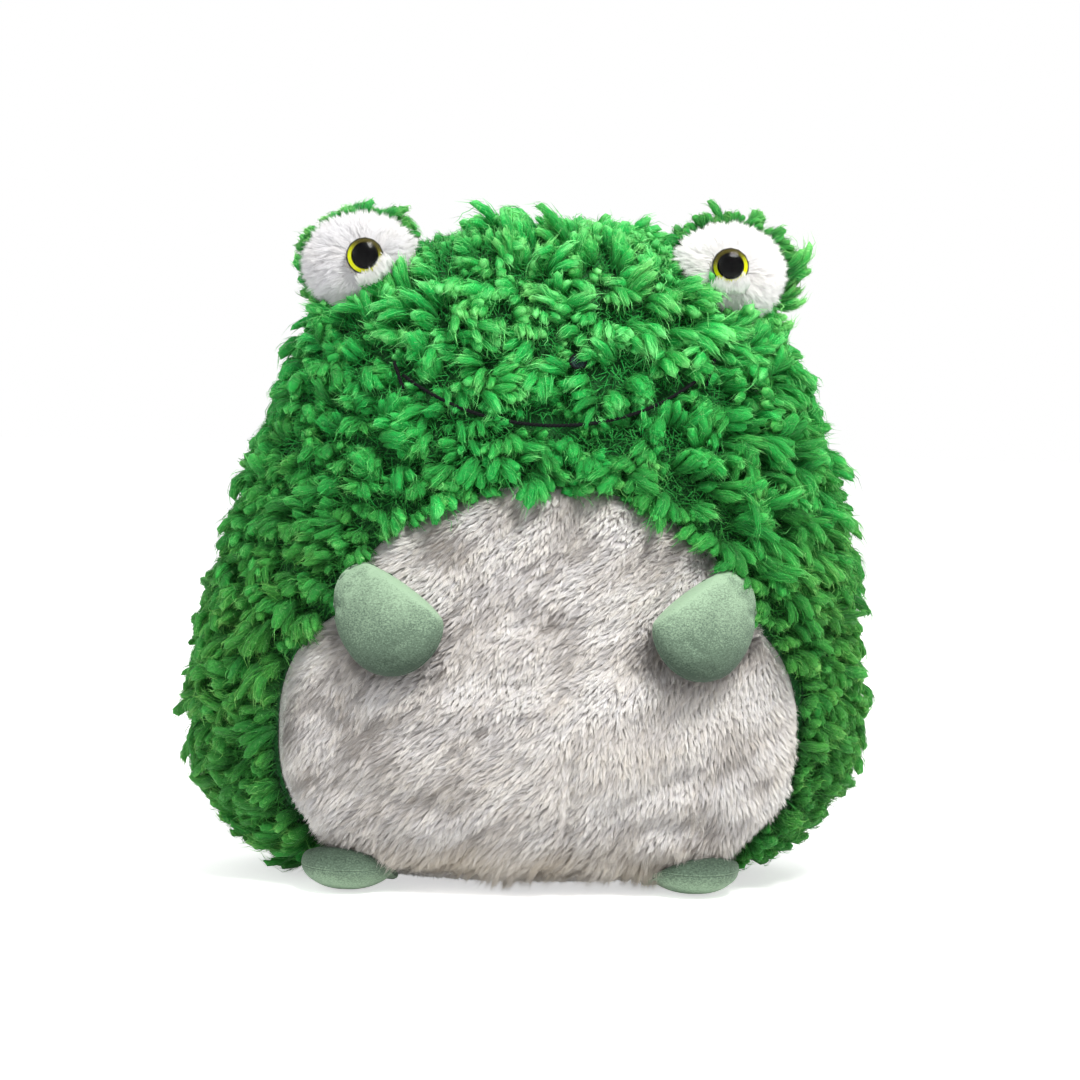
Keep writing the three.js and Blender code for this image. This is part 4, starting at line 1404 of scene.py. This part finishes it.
points, quads = panel(base_region, base_depth)
backing_piece("base_cover", points, quads, white_knit, plush_slot, "base_panel")
roots, outward = scatter(points, quads, seat_spacing, crowd=10.0)
count = len(roots)
combs = combed(outward, np.tile([0.2, 1.0, 0.0], (count, 1)), chance.normal(0.0, 0.5, count))
tufts = tufted(
    roots,
    outward,
    combs,
    seat_pile_length * chance.uniform(0.8, 1.1, count),
    np.full(count, seat_lean),
    chance.uniform(0.4, 0.9, count),
    np.ones(count),
    seat_hairs_per_tuft,
    seat_pile_half_width,
)
strand_piece("base_pile", tufts, white_pile, plush_slot)

# %% [markdown]
# ## The filling
#
# Inside the cover lies loose wadding, a soft closed form just under the backing.

# %% Wadding of the body
wadding_gap = 0.0016
points = body_surface(body_ways, fur_depth + wadding_gap)
body_wadding = mesh_piece("body_wadding", points, body_quads, wadding_fluff, "wadding", ["body_filling"])

# %% [markdown]
# ## Mouth and nostrils
#
# The mouth is one line of black thread, closed by a short stitch across each end, and each nostril is a
# small ring of the same thread. A thread is three plies wound round each other, so each ply is a tube that
# spirals round the line at a third of a turn from the next.


# %% Threads
def thread_finish():
    """Black polyester thread: fine slanting fibres with a soft gloss."""
    black = Finish("black_thread")
    hairs = black.noise(black.place(turn=(0.4, 0.3, 0.8)), 2600.0)
    return black.finish(
        Base_Color=black.ramp(hairs, (0.3, 3, 4, 5), (0.75, 16, 18, 20)),
        Roughness=0.7,
        Normal=black.relief(hairs, 0.0001),
        Specular_IOR_Level=0.15,
    )


black_thread = thread_finish()
thread_radius = 0.0008
thread_sink = 0.0004
ply_radius = thread_radius * 0.52
ply_offset = thread_radius * 0.5
ply_pitch = 0.006
ply_sides = 8


def swept(line, side, upper, radius):
    """Closed tube: circles of the radius round a line, and a point at each of its ends."""
    bearing = np.linspace(0.0, 2 * math.pi, ply_sides, endpoint=False)[None, :, None]
    rings = line[:, None] + radius * (np.cos(bearing) * side[:, None] + np.sin(bearing) * upper[:, None])
    ends = [np.repeat(end, ply_sides, 0) for end in (line[:1], line[-1:])]
    points = np.concatenate([ends[0], rings.reshape(-1, 3), ends[1]])
    return points, strip_faces(len(line) + 2, ply_sides, True)


def twisted(line, upper, turns, size):
    """Points and quads of three plies, round line + offset * (cos b * side + sin b * upper)."""
    ahead = np.gradient(line, axis=0)
    side = unit(np.cross(ahead, upper))
    upper = unit(np.cross(side, ahead))
    points, faces, made = [], [], 0
    for ply in range(3):
        bearing = (np.linspace(0.0, turns, len(line)) + ply / 3)[:, None] * 2 * math.pi
        middle = line + size * ply_offset * (np.cos(bearing) * side + np.sin(bearing) * upper)
        ply_points, ply_faces = swept(middle, side, upper, size * ply_radius)
        points.append(ply_points)
        faces.append(ply_faces + made)
        made += len(ply_points)
    return np.concatenate(points), np.concatenate(faces)


def thread_piece(name, line, upper, size=1.0):
    """Thread along a line, with a full turn of its plies each pitch; it replaces the stitch of its name."""
    length = np.linalg.norm(np.diff(line, axis=0), axis=1).sum()
    points, faces = twisted(line, upper, round(length / ply_pitch), size)
    piece = mesh_piece(f"{name}_thread", points, faces, black_thread, "black_thread", [f"{name}_stitch"])
    return merge_doubles(piece, 1e-7)


mouth_ends = {-1: 0.0610, 1: 0.0665}
x = np.linspace(-mouth_ends[-1], mouth_ends[1], 220)
z = mouth_height(x)
thread_piece("mouth", front_skin(x, z, thread_sink), front_normal(x, z))

tick_length = 0.011
tick_lean = 0.35
for side, name in both_sides:
    share = np.linspace(-0.5, 0.5, 24)
    end_x = side * (mouth_ends[side] + 2 * thread_radius + seam_gap)
    x = end_x + side * share * tick_length * tick_lean
    z = mouth_height(np.array(mouth_ends[side])) + share * tick_length
    thread_piece(f"{name}_mouth_corner", front_skin(x, z, thread_sink), front_normal(x, z))

# %% Nostrils
nostril_radius = 0.0031
nostril_sink = 0.0010
nostril_stretch = 1.08
nostril_places = 48
nostril_rings = 5
nostril_depth = 0.0012
nostril_patch_thickness = 0.0004
# The sunken patch inside each ring is a painted shadow: a dark teal knit for the shade in the nostril.
nostril_finish = knit_finish("nostril_shadow", (0, 34, 34), (8, 58, 54), 0.0012)
for side, name in both_sides:
    spot_x, spot_z = np.array([side * nostril_x]), np.array([nostril_z])
    normal = front_normal(spot_x, spot_z)
    middle = front_skin(spot_x, spot_z) - normal * nostril_sink
    level_way = level_side(normal)
    bearing = np.linspace(0.0, 2 * math.pi, nostril_places + 1)[:, None]
    rim = np.cos(bearing) * level_way * nostril_stretch + np.sin(bearing) * np.cross(normal, level_way)
    thread_piece(
        f"{name}_nostril", middle + nostril_radius * rim, np.repeat(normal, len(rim), 0), size=0.7
    )
    share = np.linspace(0.0, 1.0, nostril_rings)[:, None, None]
    disc = middle - normal * (nostril_depth * (1 - share**2) + 0.0002)
    disc = (disc + nostril_radius * share * rim[:-1]).reshape(-1, 3)
    quads = strip_faces(nostril_rings, nostril_places, True)
    patch = mesh_piece(f"{name}_nostril_patch", disc, quads, nostril_finish, "green_fur")
    thicken(merge_doubles(patch), nostril_patch_thickness)

# %% [markdown]
# ## Eye bumps
#
# Each bump is a small stuffed ball on the corner of the head. Its back is the green plush with smaller
# locks, which stand away from the eye all round, and its front is a patch of longer white plush, brushed
# away from the eye. Some white hairs under the eye bend up over its lower rim.

# %% Sizes of a bump
bump_fur_depth = 0.006
bump_white_depth = 0.0035
patch_half_width = 0.024
patch_half_height = 0.020
patch_set_forward = 0.002
bump_cuts = 22
bump_ways, bump_quads = even_ball(bump_cuts)
eye_line_in = 0.001
eye_line_up = 0.003
eye_radius = 0.008


def bump_middle(side):
    """Middle of the bump on one side."""
    return bump_place * (side, 1, 1)


def bump_surface(side, ways, inset):
    """Ellipsoid round the bump's middle, drawn in by inset."""
    return bump_middle(side) + ways * (bump_half - inset)


def eye_line(side):
    """The way that an eye looks: forward, a little inwards and up."""
    return unit(np.array([-side * eye_line_in, -bump_half[1], eye_line_up]))


def patch_oval(from_middle):
    """Share of the white patch's outline that places reach, by their way from the bump's middle."""
    return np.hypot(from_middle[:, 0] / patch_half_width, from_middle[:, 2] / patch_half_height)


def bump_parts(side, inset, white):
    """Quads of a bump outside the head, in its white patch or behind it."""
    points = bump_surface(side, bump_ways, inset)
    middles = points[bump_quads].mean(1)
    from_middle = middles - bump_middle(side)
    in_patch = (patch_oval(from_middle) < 1) & (from_middle[:, 1] < -patch_set_forward)
    in_head = inside_body(middles, fur_depth - 0.001)
    kept = bump_quads[(in_patch if white else ~in_patch) & ~in_head]
    used, quads = np.unique(kept, return_inverse=True)
    return points[used], quads.reshape(-1, 4)


def inside_body(points, inset):
    """Whether places lie inside the body's skin drawn in by inset."""
    x, y, z = points.T
    width, front = front_level(z, inset)
    depth = np.where(y < middle_y, front, front * (body_back_depth - inset) / (body_front_depth - inset))
    reach = (np.abs(x) / np.maximum(width, 1e-6)) ** slice_power
    reach = reach + (np.abs(y - middle_y) / np.maximum(depth, 1e-6)) ** slice_power
    return (reach < 1) & (z < head_top - inset)


# %% Covers, fur and wadding of the bumps
bump_lock_spacing = 0.0054
bump_lock_half_width = 0.0046
bump_lock_rise = 0.0092
bump_lock_longest = 0.020
bump_hairs = 44
bump_loops = 2
bump_slot = "white_bump_fur"
white_spacing = 0.0011
white_roots_within = 0.92
white_hair_length = 0.0062
white_hair_lean = np.radians(66)
eye_hole_gap = 0.0006
lid_rim_width = 0.0036
white_hair_half_width = 0.00014
white_hairs_per_tuft = 18
lid_hairs = 14
lid_places = 7
lid_run = np.linspace(0, 1, lid_places)


def bump_locks(side, points, quads):
    """Locks of a bump's green part, which stand away from the eye."""
    roots, outward = scatter(points, quads, bump_lock_spacing)
    open_air = ~inside_body(roots, -0.001)
    roots, outward = roots[open_air], outward[open_air]
    count = len(roots)
    away = roots - bump_middle(side) - 0.35 * bump_half[1] * eye_line(side)
    towards = away + eye_line(side) * 0.006 + np.array([0.0, 0.0, 0.002])
    combs = combed(outward, towards, chance.normal(0, 0.5, count))
    lean_root = math.radians(14) + chance.normal(0.0, 0.12, count)
    lean_tip = lean_root + np.radians(chance.uniform(40.0, 100.0, count))
    outside = ease(0.0, 0.012, side * away[:, 0])
    low_outside = fall(-0.004, 0.012, away[:, 2]) * outside
    rises = bump_lock_rise + (0.008 * low_outside + 0.003 * outside if side > 0 else -0.0035 * outside)
    lengths = reach_for(rises * chance.uniform(0.7, 1.2, count), lean_root, lean_tip)
    return {
        "roots": roots,
        "outward": outward,
        "combs": combs,
        "lengths": np.minimum(lengths, bump_lock_longest),
        "half_widths": bump_lock_half_width * chance.uniform(0.8, 1.15, count),
        "shade": np.clip(0.42 + chance.normal(0.0, 0.12, count), 0.12, 0.88),
        "bright": 1.06 + chance.normal(0.0, 0.06, count),
        "lean_root": lean_root,
        "lean_tip": lean_tip,
        "sway": chance.normal(0.0, 0.16, count),
        "crimp": np.full(count, 0.0003),
        "kinks": chance.uniform(10.0, 18.0, count),
    }


def eyelid_strands(side, roots, outward, from_line, reach):
    """Hairs that grow close under the eye, inwards, and hook over its lower rim."""
    lid_way = unit(np.array([0.62, 0.0, -0.78] if side < 0 else [0.05, 0.0, -1.0]))
    low_rim = (reach < eye_radius + lid_rim_width) & (from_line @ lid_way > 0.72 * reach)
    owner = np.repeat(np.flatnonzero(low_rim), lid_hairs)
    many = len(owner)
    lid_roots = roots[owner] + chance.normal(0.0, 0.0004, (many, 3))
    inwards = combed(outward[owner], -from_line[owner] - 0.006 * lid_way, chance.normal(0.0, 0.2, many))
    lean_root = np.radians(12) + chance.normal(0.0, 0.08, many)
    lean_tip = np.radians(112) + chance.normal(0.0, 0.15, many)
    lengths = chance.uniform(0.0064, 0.0094, many)
    line, _ = bent_lines(lid_roots, outward[owner], inwards, lengths, lean_root, lean_tip, lid_run)
    flat = np.repeat(np.cross(inwards, outward[owner])[:, None], lid_places, 1)
    widths = np.full((many, lid_places), white_hair_half_width)
    along = np.tile(np.linspace(0.5, 0.9, lid_places), (many, 1))
    return pointed(line, flat, widths, chance.uniform(0.85, 1.0, many), along)


for side, name in both_sides:
    points, quads = bump_parts(side, bump_fur_depth, False)
    node = f"{name}_eye_bump_back"
    backing_piece(f"{name}_bump_green_backing", points, quads, green_knit, "green_fur", node)
    fur_piece(f"{name}_bump_green_fur", bump_locks(side, points, quads), bump_hairs, bump_loops)

    points, quads = bump_parts(side, bump_white_depth, True)
    node = f"{name}_eye_bump_front"
    backing_piece(f"{name}_bump_white_backing", points, quads, white_knit, bump_slot, node)
    roots, outward = scatter(points, quads, white_spacing, crowd=10.0)
    from_middle = roots - bump_middle(side)
    from_line = from_middle - (from_middle @ eye_line(side))[:, None] * eye_line(side)
    reach = np.linalg.norm(from_line, axis=1)
    open_air = (reach > eye_radius + eye_hole_gap) & (patch_oval(from_middle) < white_roots_within)
    open_air = open_air & ~inside_body(roots, 0.0)
    roots, outward, from_line, reach = (values[open_air] for values in (roots, outward, from_line, reach))
    count = len(roots)
    swirl = 0.4 * brushed(roots, 0.005, 0.008, 8) + chance.normal(0.0, 0.25, count)
    combs = combed(outward, from_line + np.array([0.0, 0.0, 0.0015]), swirl)
    leans = white_hair_lean + chance.normal(0.0, 0.10, count) + 0.05 * brushed(roots, 0.003, 0.005, 9)
    # Painted shade and light: the bump at negative x is darker, and the white grows lighter above the eye's
    # line.
    lit = (0.5 if side < 0 else 0.9) + 6.0 * from_line[:, 2] + 0.06 * brushed(roots, 0.003, 0.005, 11)
    tufts = tufted(
        roots,
        outward,
        combs,
        white_hair_length * chance.uniform(0.75, 1.1, count),
        leans,
        np.clip(0.92 + 0.08 * brushed(roots, 0.004, 0.006, 10), 0.0, 1.0),
        np.clip(lit, 0.1, 1.0),
        white_hairs_per_tuft,
        white_hair_half_width,
        foot_share=0.8,
        loose=1.9,
    )
    strand_piece(f"{name}_bump_white_fur", tufts, white_pile, bump_slot)
    lid = eyelid_strands(side, roots, outward, from_line, reach)
    strand_piece(f"{name}_eyelid_hairs", lid, white_pile, bump_slot)

    points = bump_surface(side, bump_ways, bump_fur_depth + wadding_gap)
    node = f"{name}_eye_bump_filling"
    wad = mesh_piece(f"{name}_bump_wadding", points, bump_quads, wadding_fluff, "wadding", [node])

# %% [markdown]
# ## Eyes
#
# A toy's safety eye is moulded: a clear dome over a yellow disc, with a black dome in its middle for the
# pupil, on a peg that goes through the plush into a locking washer. Domes and discs are turned shapes, so
# each is a profile of radius and height carried once round the line that the eye looks along.


# %% Finishes of the eye
def clear_finish():
    """Clear plastic: see-through, with a thin mirror over it that is stronger at the edge."""
    lens = Finish("clear_lens")
    grazing = lens.node("ShaderNodeLayerWeight", {}, {"Blend": 0.5}, "Facing")
    mirror = {"Base Color": white, "Metallic": 1.0, "Roughness": 0.05}
    gloss = lens.node("ShaderNodeBsdfPrincipled", {}, mirror)
    through = lens.node("ShaderNodeBsdfTransparent", {}, {"Color": (0.97, 0.97, 0.95, 1.0)})
    both = lens.node("ShaderNodeMixShader", {}, {0: grazing**5 * 0.3 + 0.006, 1: through, 2: gloss})
    lens.node("ShaderNodeOutputMaterial", {}, {"Surface": both})
    return lens.material


def iris_finish():
    """Yellow paint behind the dome, with painted shade: bright low and outside, and olive towards the top,
    where the dome's top would shade it.
    """
    iris = Finish("yellow_iris")
    spot = iris.place()
    spokes = iris.noise(spot, 900.0)
    across, _, height = iris.parts(spot)
    outward = across.maths("ABSOLUTE", across) - bump_x
    eye_height = bump_z + bump_half[1] * eye_line(1)[2]
    # Painted shade: the ring darkens towards its top and its inner side.
    shaded = (height - eye_height) * (0.85 / eye_radius) - outward * (0.25 / eye_radius) + spokes * 0.1 + 0.4
    rows = ((0.2, 236, 244, 12), (0.5, 196, 202, 14), (0.8, 112, 110, 22), (1.0, 70, 64, 18))
    return iris.finish(
        Base_Color=iris.ramp(shaded, *rows),
        Roughness=0.4,
        Normal=iris.relief(spokes, 0.00005),
        Specular_IOR_Level=0.1,
    )


def moulded_finish(name, dark, light, roughness, shine=0.5):
    """Moulded plastic: a faint change of tone and an orange-peel bump."""
    plastic = Finish(name)
    peel = plastic.noise(plastic.place(), 900.0)
    return plastic.finish(
        Base_Color=plastic.ramp(peel, (0.3, *dark), (0.7, *light)),
        Roughness=peel * 0.12 + (roughness - 0.06),
        Normal=plastic.relief(peel, 0.00003),
        Specular_IOR_Level=shine,
    )


clear_lens = clear_finish()
yellow_iris = iris_finish()
pupil_black = moulded_finish("pupil_black", (1, 1, 2), (4, 4, 5), 0.3, 0.0)
peg_black = moulded_finish("peg_black", (10, 10, 10), (24, 24, 24), 0.4)
washer_white = moulded_finish("washer_white", (222, 222, 216), (238, 238, 234), 0.45)
print("eye finishes are ready")

# %% Turned pieces of the eyes
dome_height = 0.0046
lens_rim = 0.0009
lens_wall = 0.0004
disc_thickness = 0.0012
iris_thickness = 0.0005
pupil_radius = 0.0058
pupil_height = 0.0021
patch_sink = 0.001
seat_depth = 0.0012
turn_steps = 64
dome_steps = 16


def bump_reach(inset):
    """Distance from a bump's middle to its skin along the eye's line."""
    return 1 / np.linalg.norm(eye_line(1) / (bump_half - inset))


def turned(name, profile, side, material, slot, node):
    """Closed surface of a profile of (radius, height) pairs, carried round the eye's line."""
    line = eye_line(side)
    seat = bump_middle(side) + line * (bump_reach(patch_sink) - seat_depth + seam_gap)
    across = level_side(line)
    upright = np.cross(line, across)
    radius, height = np.array(profile).T
    bearing = np.linspace(0.0, 2 * math.pi, turn_steps, endpoint=False)[None, :, None]
    ring = radius[:, None, None] * (np.cos(bearing) * across + np.sin(bearing) * upright)
    points = (seat + height[:, None, None] * line + ring).reshape(-1, 3)
    quads = strip_faces(len(profile), turn_steps, True)
    return merge_doubles(mesh_piece(name, points, quads, material, slot, [node]))


def dome(radius, low, high):
    """Profile of a dome: radius * cos(a) and low + (high - low) * sin(a)."""
    angle = np.linspace(0.0, math.pi / 2, dome_steps)
    return list(zip(radius * np.cos(angle), low + (high - low) * np.sin(angle)))


for side, name in both_sides:
    low = disc_thickness + seam_gap
    iris_top = low + iris_thickness
    pupil_low = iris_top + seam_gap
    inner_radius = eye_radius - lens_wall
    pupil_top = pupil_low + pupil_height
    outside = dome(eye_radius, low + lens_rim, low + dome_height)
    inside = dome(pupil_radius + seam_gap, pupil_low, pupil_top + seam_gap)[::-1]
    lens_profile = inside + [(inner_radius, pupil_low), (inner_radius, low), (eye_radius, low)] + outside
    turned(f"{name}_lens", lens_profile, side, clear_lens, "clear_lens", f"{name}_eye_lens")
    iris_radius = inner_radius - seam_gap
    iris_profile = [(0, low), (iris_radius, low), (iris_radius, iris_top), (0, iris_top)]
    turned(f"{name}_iris", iris_profile, side, yellow_iris, "yellow_iris", f"{name}_eye_iris")
    pupil_profile = [(0, pupil_low)] + dome(pupil_radius, pupil_low, pupil_top)
    turned(f"{name}_pupil", pupil_profile, side, pupil_black, "eye_black", f"{name}_eye_pupil")
    for node, material in ((f"{name}_eye_shank", peg_black), (f"{name}_eye_washer", washer_white)):
        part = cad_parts[node]
        part.data.materials.clear()
        part.data.materials.append(material)

# %% [markdown]
# ## Limbs
#
# Arms and feet are egg pods of a smooth sage velour, stuffed tight and flat where they lie on the belly or
# the floor. Padding is cloth with air in it, so each pod starts a little thin, and a short cloth
# simulation blows it up. An arm's seam is held all round, so the arm swells between it and draws small
# puckers along it. A foot's is held only at the end that is sewn on, so its toes come out round.


# %% Finish of the velour
def velour_finish(name, painted_shading_by_facing):
    """Sage velour: fine specks and rows of tone, and slow patches.

    It has painted light and shade by the way its surface faces: an arm is painted pale on top and dark
    underneath, and a foot the other way round, by the second argument.
    """
    nap = Finish(name)
    spot = nap.place(turn=(0.0, 0.6, 0.0))
    specks = nap.noise(spot, 1500.0, 2.0, 0.7)
    rows = nap.noise(nap.place((1.0, 1.0, 2.2), (0.0, 0.85, 0.0)), 900.0, 2.0, 0.6)
    slow = nap.noise(spot, 70.0)
    facing_up = nap.parts(nap.node("ShaderNodeTexCoord", output="Normal"))[2]
    # Painted light and shade: the tone rises or falls with how far the surface faces up, by the second
    # argument.
    tone = specks * 0.5 + rows * 0.5 + (slow - 0.5) * 0.2 + facing_up * painted_shading_by_facing - 0.02
    return nap.finish(
        Base_Color=nap.ramp(tone, (0.22, 50, 68, 54), (0.50, 94, 116, 97), (0.78, 152, 180, 151)),
        Roughness=0.85,
        Normal=nap.relief(specks * 0.6 + rows * 0.4, 0.0003),
        Sheen_Weight=0.25,
        Sheen_Roughness=0.35,
        Sheen_Tint=paint(214, 236, 214),
    )


# The two finishes differ only in painted light and shade: the arm's lit on top, the foot's shaded on top.
arm_velour = velour_finish("arm_velour", 0.44)
foot_velour = velour_finish("foot_velour", -0.30)


# %% Pods and their stuffing
pod_cuts = 16
pod_ways, pod_quads = even_ball(pod_cuts)
velour_thickness = 0.0015
wadding_share = 0.88
wadding_clear = 0.0004
thin_start = 0.93
stuffing_pressure = 6.0
stuffing_slack = 0.05
stuffing_cap = 0.0022
stuffing_frames = 20
stuffing_quality = 6
velour_mass = 0.2
seam_reach = 0.0004


def pod_surface(ways, middle, line, upper, half_length, half_width, half_thickness, swell):
    """Egg pod: with s the way's part along the line, the girth is sqrt(1 - s^2) * (1 + swell * s).

    The sizes are the half length, the half width, the half thickness and the swell.
    """
    across = np.cross(upper, line)
    along = ways[:, 2:3]
    girth = 1 + swell * along
    return (
        middle
        + half_length * along * line
        + half_width * girth * ways[:, 0:1] * across
        + half_thickness * girth * ways[:, 1:2] * upper
    )


def stuff(piece, pinned):
    """Blows a closed skin up with Cloth, holding the pinned points, and caps how far a point travels."""
    scene = bpy.context.scene
    rest = np.array([v.co for v in piece.data.vertices], float).reshape(-1, 3)
    held = piece.vertex_groups.new(name="held")
    held.add([int(index) for index in np.flatnonzero(pinned)], 1.0, "REPLACE")
    cloth = piece.modifiers.new("stuffing", "CLOTH")
    cloth.settings.quality = stuffing_quality
    cloth.settings.mass = velour_mass
    cloth.settings.use_pressure = True
    cloth.settings.uniform_pressure_force = stuffing_pressure
    cloth.settings.shrink_min = -stuffing_slack
    cloth.settings.vertex_group_mass = "held"
    cloth.settings.effector_weights.gravity = 0.0
    cloth.collision_settings.use_collision = False
    cloth.point_cache.frame_start = 1
    cloth.point_cache.frame_end = stuffing_frames
    for step in range(1, stuffing_frames + 1):
        scene.frame_set(step)
    ready = piece.evaluated_get(bpy.context.evaluated_depsgraph_get()).data
    moved = np.zeros(len(ready.vertices) * 3, np.float32)
    ready.vertices.foreach_get("co", moved)
    travel = moved.reshape(-1, 3) - rest
    length = np.linalg.norm(travel, axis=1, keepdims=True)
    travel = travel * np.minimum(1.0, stuffing_cap / np.maximum(length, 1e-9))
    piece.modifiers.remove(cloth)
    piece.vertex_groups.remove(held)
    scene.frame_set(1)
    print(f"{piece.name}: stuffed, points moved up to {length.max() * 1000:.1f} mm before the cap")
    return rest + travel


def limb(name, pod, keep_out, velour, lower, pinned_up_to):
    """Two velour panels and their wadding, from one stuffed pod, whose seam is pinned up to a share."""
    middle, line, upper, sizes = pod
    length, width, thickness, swell = sizes
    thin = (length, width, thickness * thin_start, swell)
    start = pod_surface(pod_ways, middle, line, upper, *thin)
    skin = mesh_piece(f"{name}_pod", start, pod_quads, velour, "sage_velour", body=name)
    skin.parent = None
    seam = (np.abs((start - middle) @ upper) < seam_reach) & (pod_ways[:, 2] < pinned_up_to)
    shaped = stuff(skin, seam)
    bpy.data.objects.remove(skin)
    points = keep_out(shaped, 0.0)
    level = (points[pod_quads].mean(1) - middle) @ upper
    for part, chosen, panel_name in (("top", level > 0, "top"), ("under", level <= 0, lower)):
        used, quads = np.unique(pod_quads[chosen], return_inverse=True)
        quads = quads.reshape(-1, 4)
        node = f"{name}_{panel_name}_panel"
        cover = mesh_piece(
            f"{name}_{part}_velour", points[used], quads, velour, "sage_velour", [node], body=name
        )
        thicken(cover, velour_thickness).modifiers["thickness"].edge_crease_outer = 1.0
        smooth = cover.modifiers.new("smooth", "SUBSURF")
        smooth.levels = 1
        smooth.render_levels = 1
        even = cover.modifiers.new("even_shade", "WEIGHTED_NORMAL")
        even.weight = 100
    inset = velour_thickness + wadding_clear
    core = keep_out(shaped - skin_normals(shaped, pod_quads) * inset, inset)
    core = middle + wadding_share * (core - middle)
    node = f"{name}_filling"
    wad = mesh_piece(f"{name}_wadding", core, pod_quads, wadding_fluff, "wadding", [node], body=name)


# %% Arms
arm_half_thickness = 0.0115
arm_root_lift = 0.0015
arm_tip_lift = 0.008
arm_swell = 0.18
arm_flat_way = np.array([-0.58, 0.815])
arm_flat_from = np.array([0.065, 0.1106])
arm_flat_reach = 0.0185
arm_flat_loss = 0.7
arm_pinned_up_to = 2.0


def clear_of_front(points, inset):
    """Keeps points in front of the body's skin, and flattens an arm's upper inner side.

    Seen from the front, a place that reaches further than flat_reach that way loses 0.7 of its excess.
    """
    side = np.sign(points[:, :1])
    spot = np.concatenate([np.abs(points[:, :1]), points[:, 2:]], 1) - arm_flat_from
    excess = np.maximum((spot @ arm_flat_way)[:, None] - arm_flat_reach + inset, 0.0)
    skin = front_skin(points[:, 0], points[:, 2])
    inside = points[:, 1] > skin[:, 1] - seam_gap - inset
    kept = points.copy()
    way = np.concatenate([side * arm_flat_way[0], 0 * side + arm_flat_way[1]], 1)
    kept[:, ::2] = points[:, ::2] - arm_flat_loss * excess * way
    kept[:, 1] = np.where(inside, skin[:, 1] - seam_gap - inset, points[:, 1])
    return kept


for side, name in both_sides:
    root_x, tip_x = side * arm_root[0], side * arm_tip[0]
    normal = front_normal(np.array((root_x + tip_x) / 2), np.array((arm_root[1] + arm_tip[1]) / 2))
    root = front_skin(np.array(root_x), np.array(arm_root[1])) + normal * arm_root_lift
    tip = front_skin(np.array(tip_x), np.array(arm_tip[1])) + normal * arm_tip_lift
    line = unit(tip - root)
    upper = unit(normal - (normal @ line) * line)
    sizes = (np.linalg.norm(tip - root) / 2, arm_half_width, arm_half_thickness, arm_swell)
    pod = ((root + tip) / 2, line, upper, sizes)
    limb(f"{name}_arm", pod, clear_of_front, arm_velour, "under", arm_pinned_up_to)

# %% Feet
foot_behind_front = 0.047
foot_sizes = (0.027, 0.019, 0.0115, 0.12)
foot_splay = math.radians(12)
foot_flap_height = 0.0026
foot_pinned_up_to = -0.45


def clear_of_body_and_floor(points, inset):
    """Keeps points under the body and above the floor, and leaves the sewn end a flap's height."""
    kept = points.copy()
    roof = np.maximum(underside(points[:, 0], points[:, 1]) - seam_gap - inset, foot_flap_height)
    kept[:, 2] = np.minimum(points[:, 2], np.where(points[:, 2] < widest_height, roof, points[:, 2]))
    kept[:, 2] = np.maximum(kept[:, 2], inset + floor_gap)
    return kept


for side, name in both_sides:
    line = np.array([side * math.sin(foot_splay), -math.cos(foot_splay), 0.0])
    middle = np.array([
        side * foot_x - feet_aside,
        middle_y - body_front_depth + foot_behind_front,
        foot_sizes[2] - rest_flat_depth,
    ])
    pod = (middle, line, np.array([0.0, 0.0, 1.0]), foot_sizes)
    limb(f"{name}_foot", pod, clear_of_body_and_floor, foot_velour, "sole", foot_pinned_up_to)

# %% [markdown]
# ## The end
#
# The visual model's box is measured and printed.

# %% Print the sizes
low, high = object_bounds()
print("the visual model is", [round(side, 4) for side in high - low], "metres")
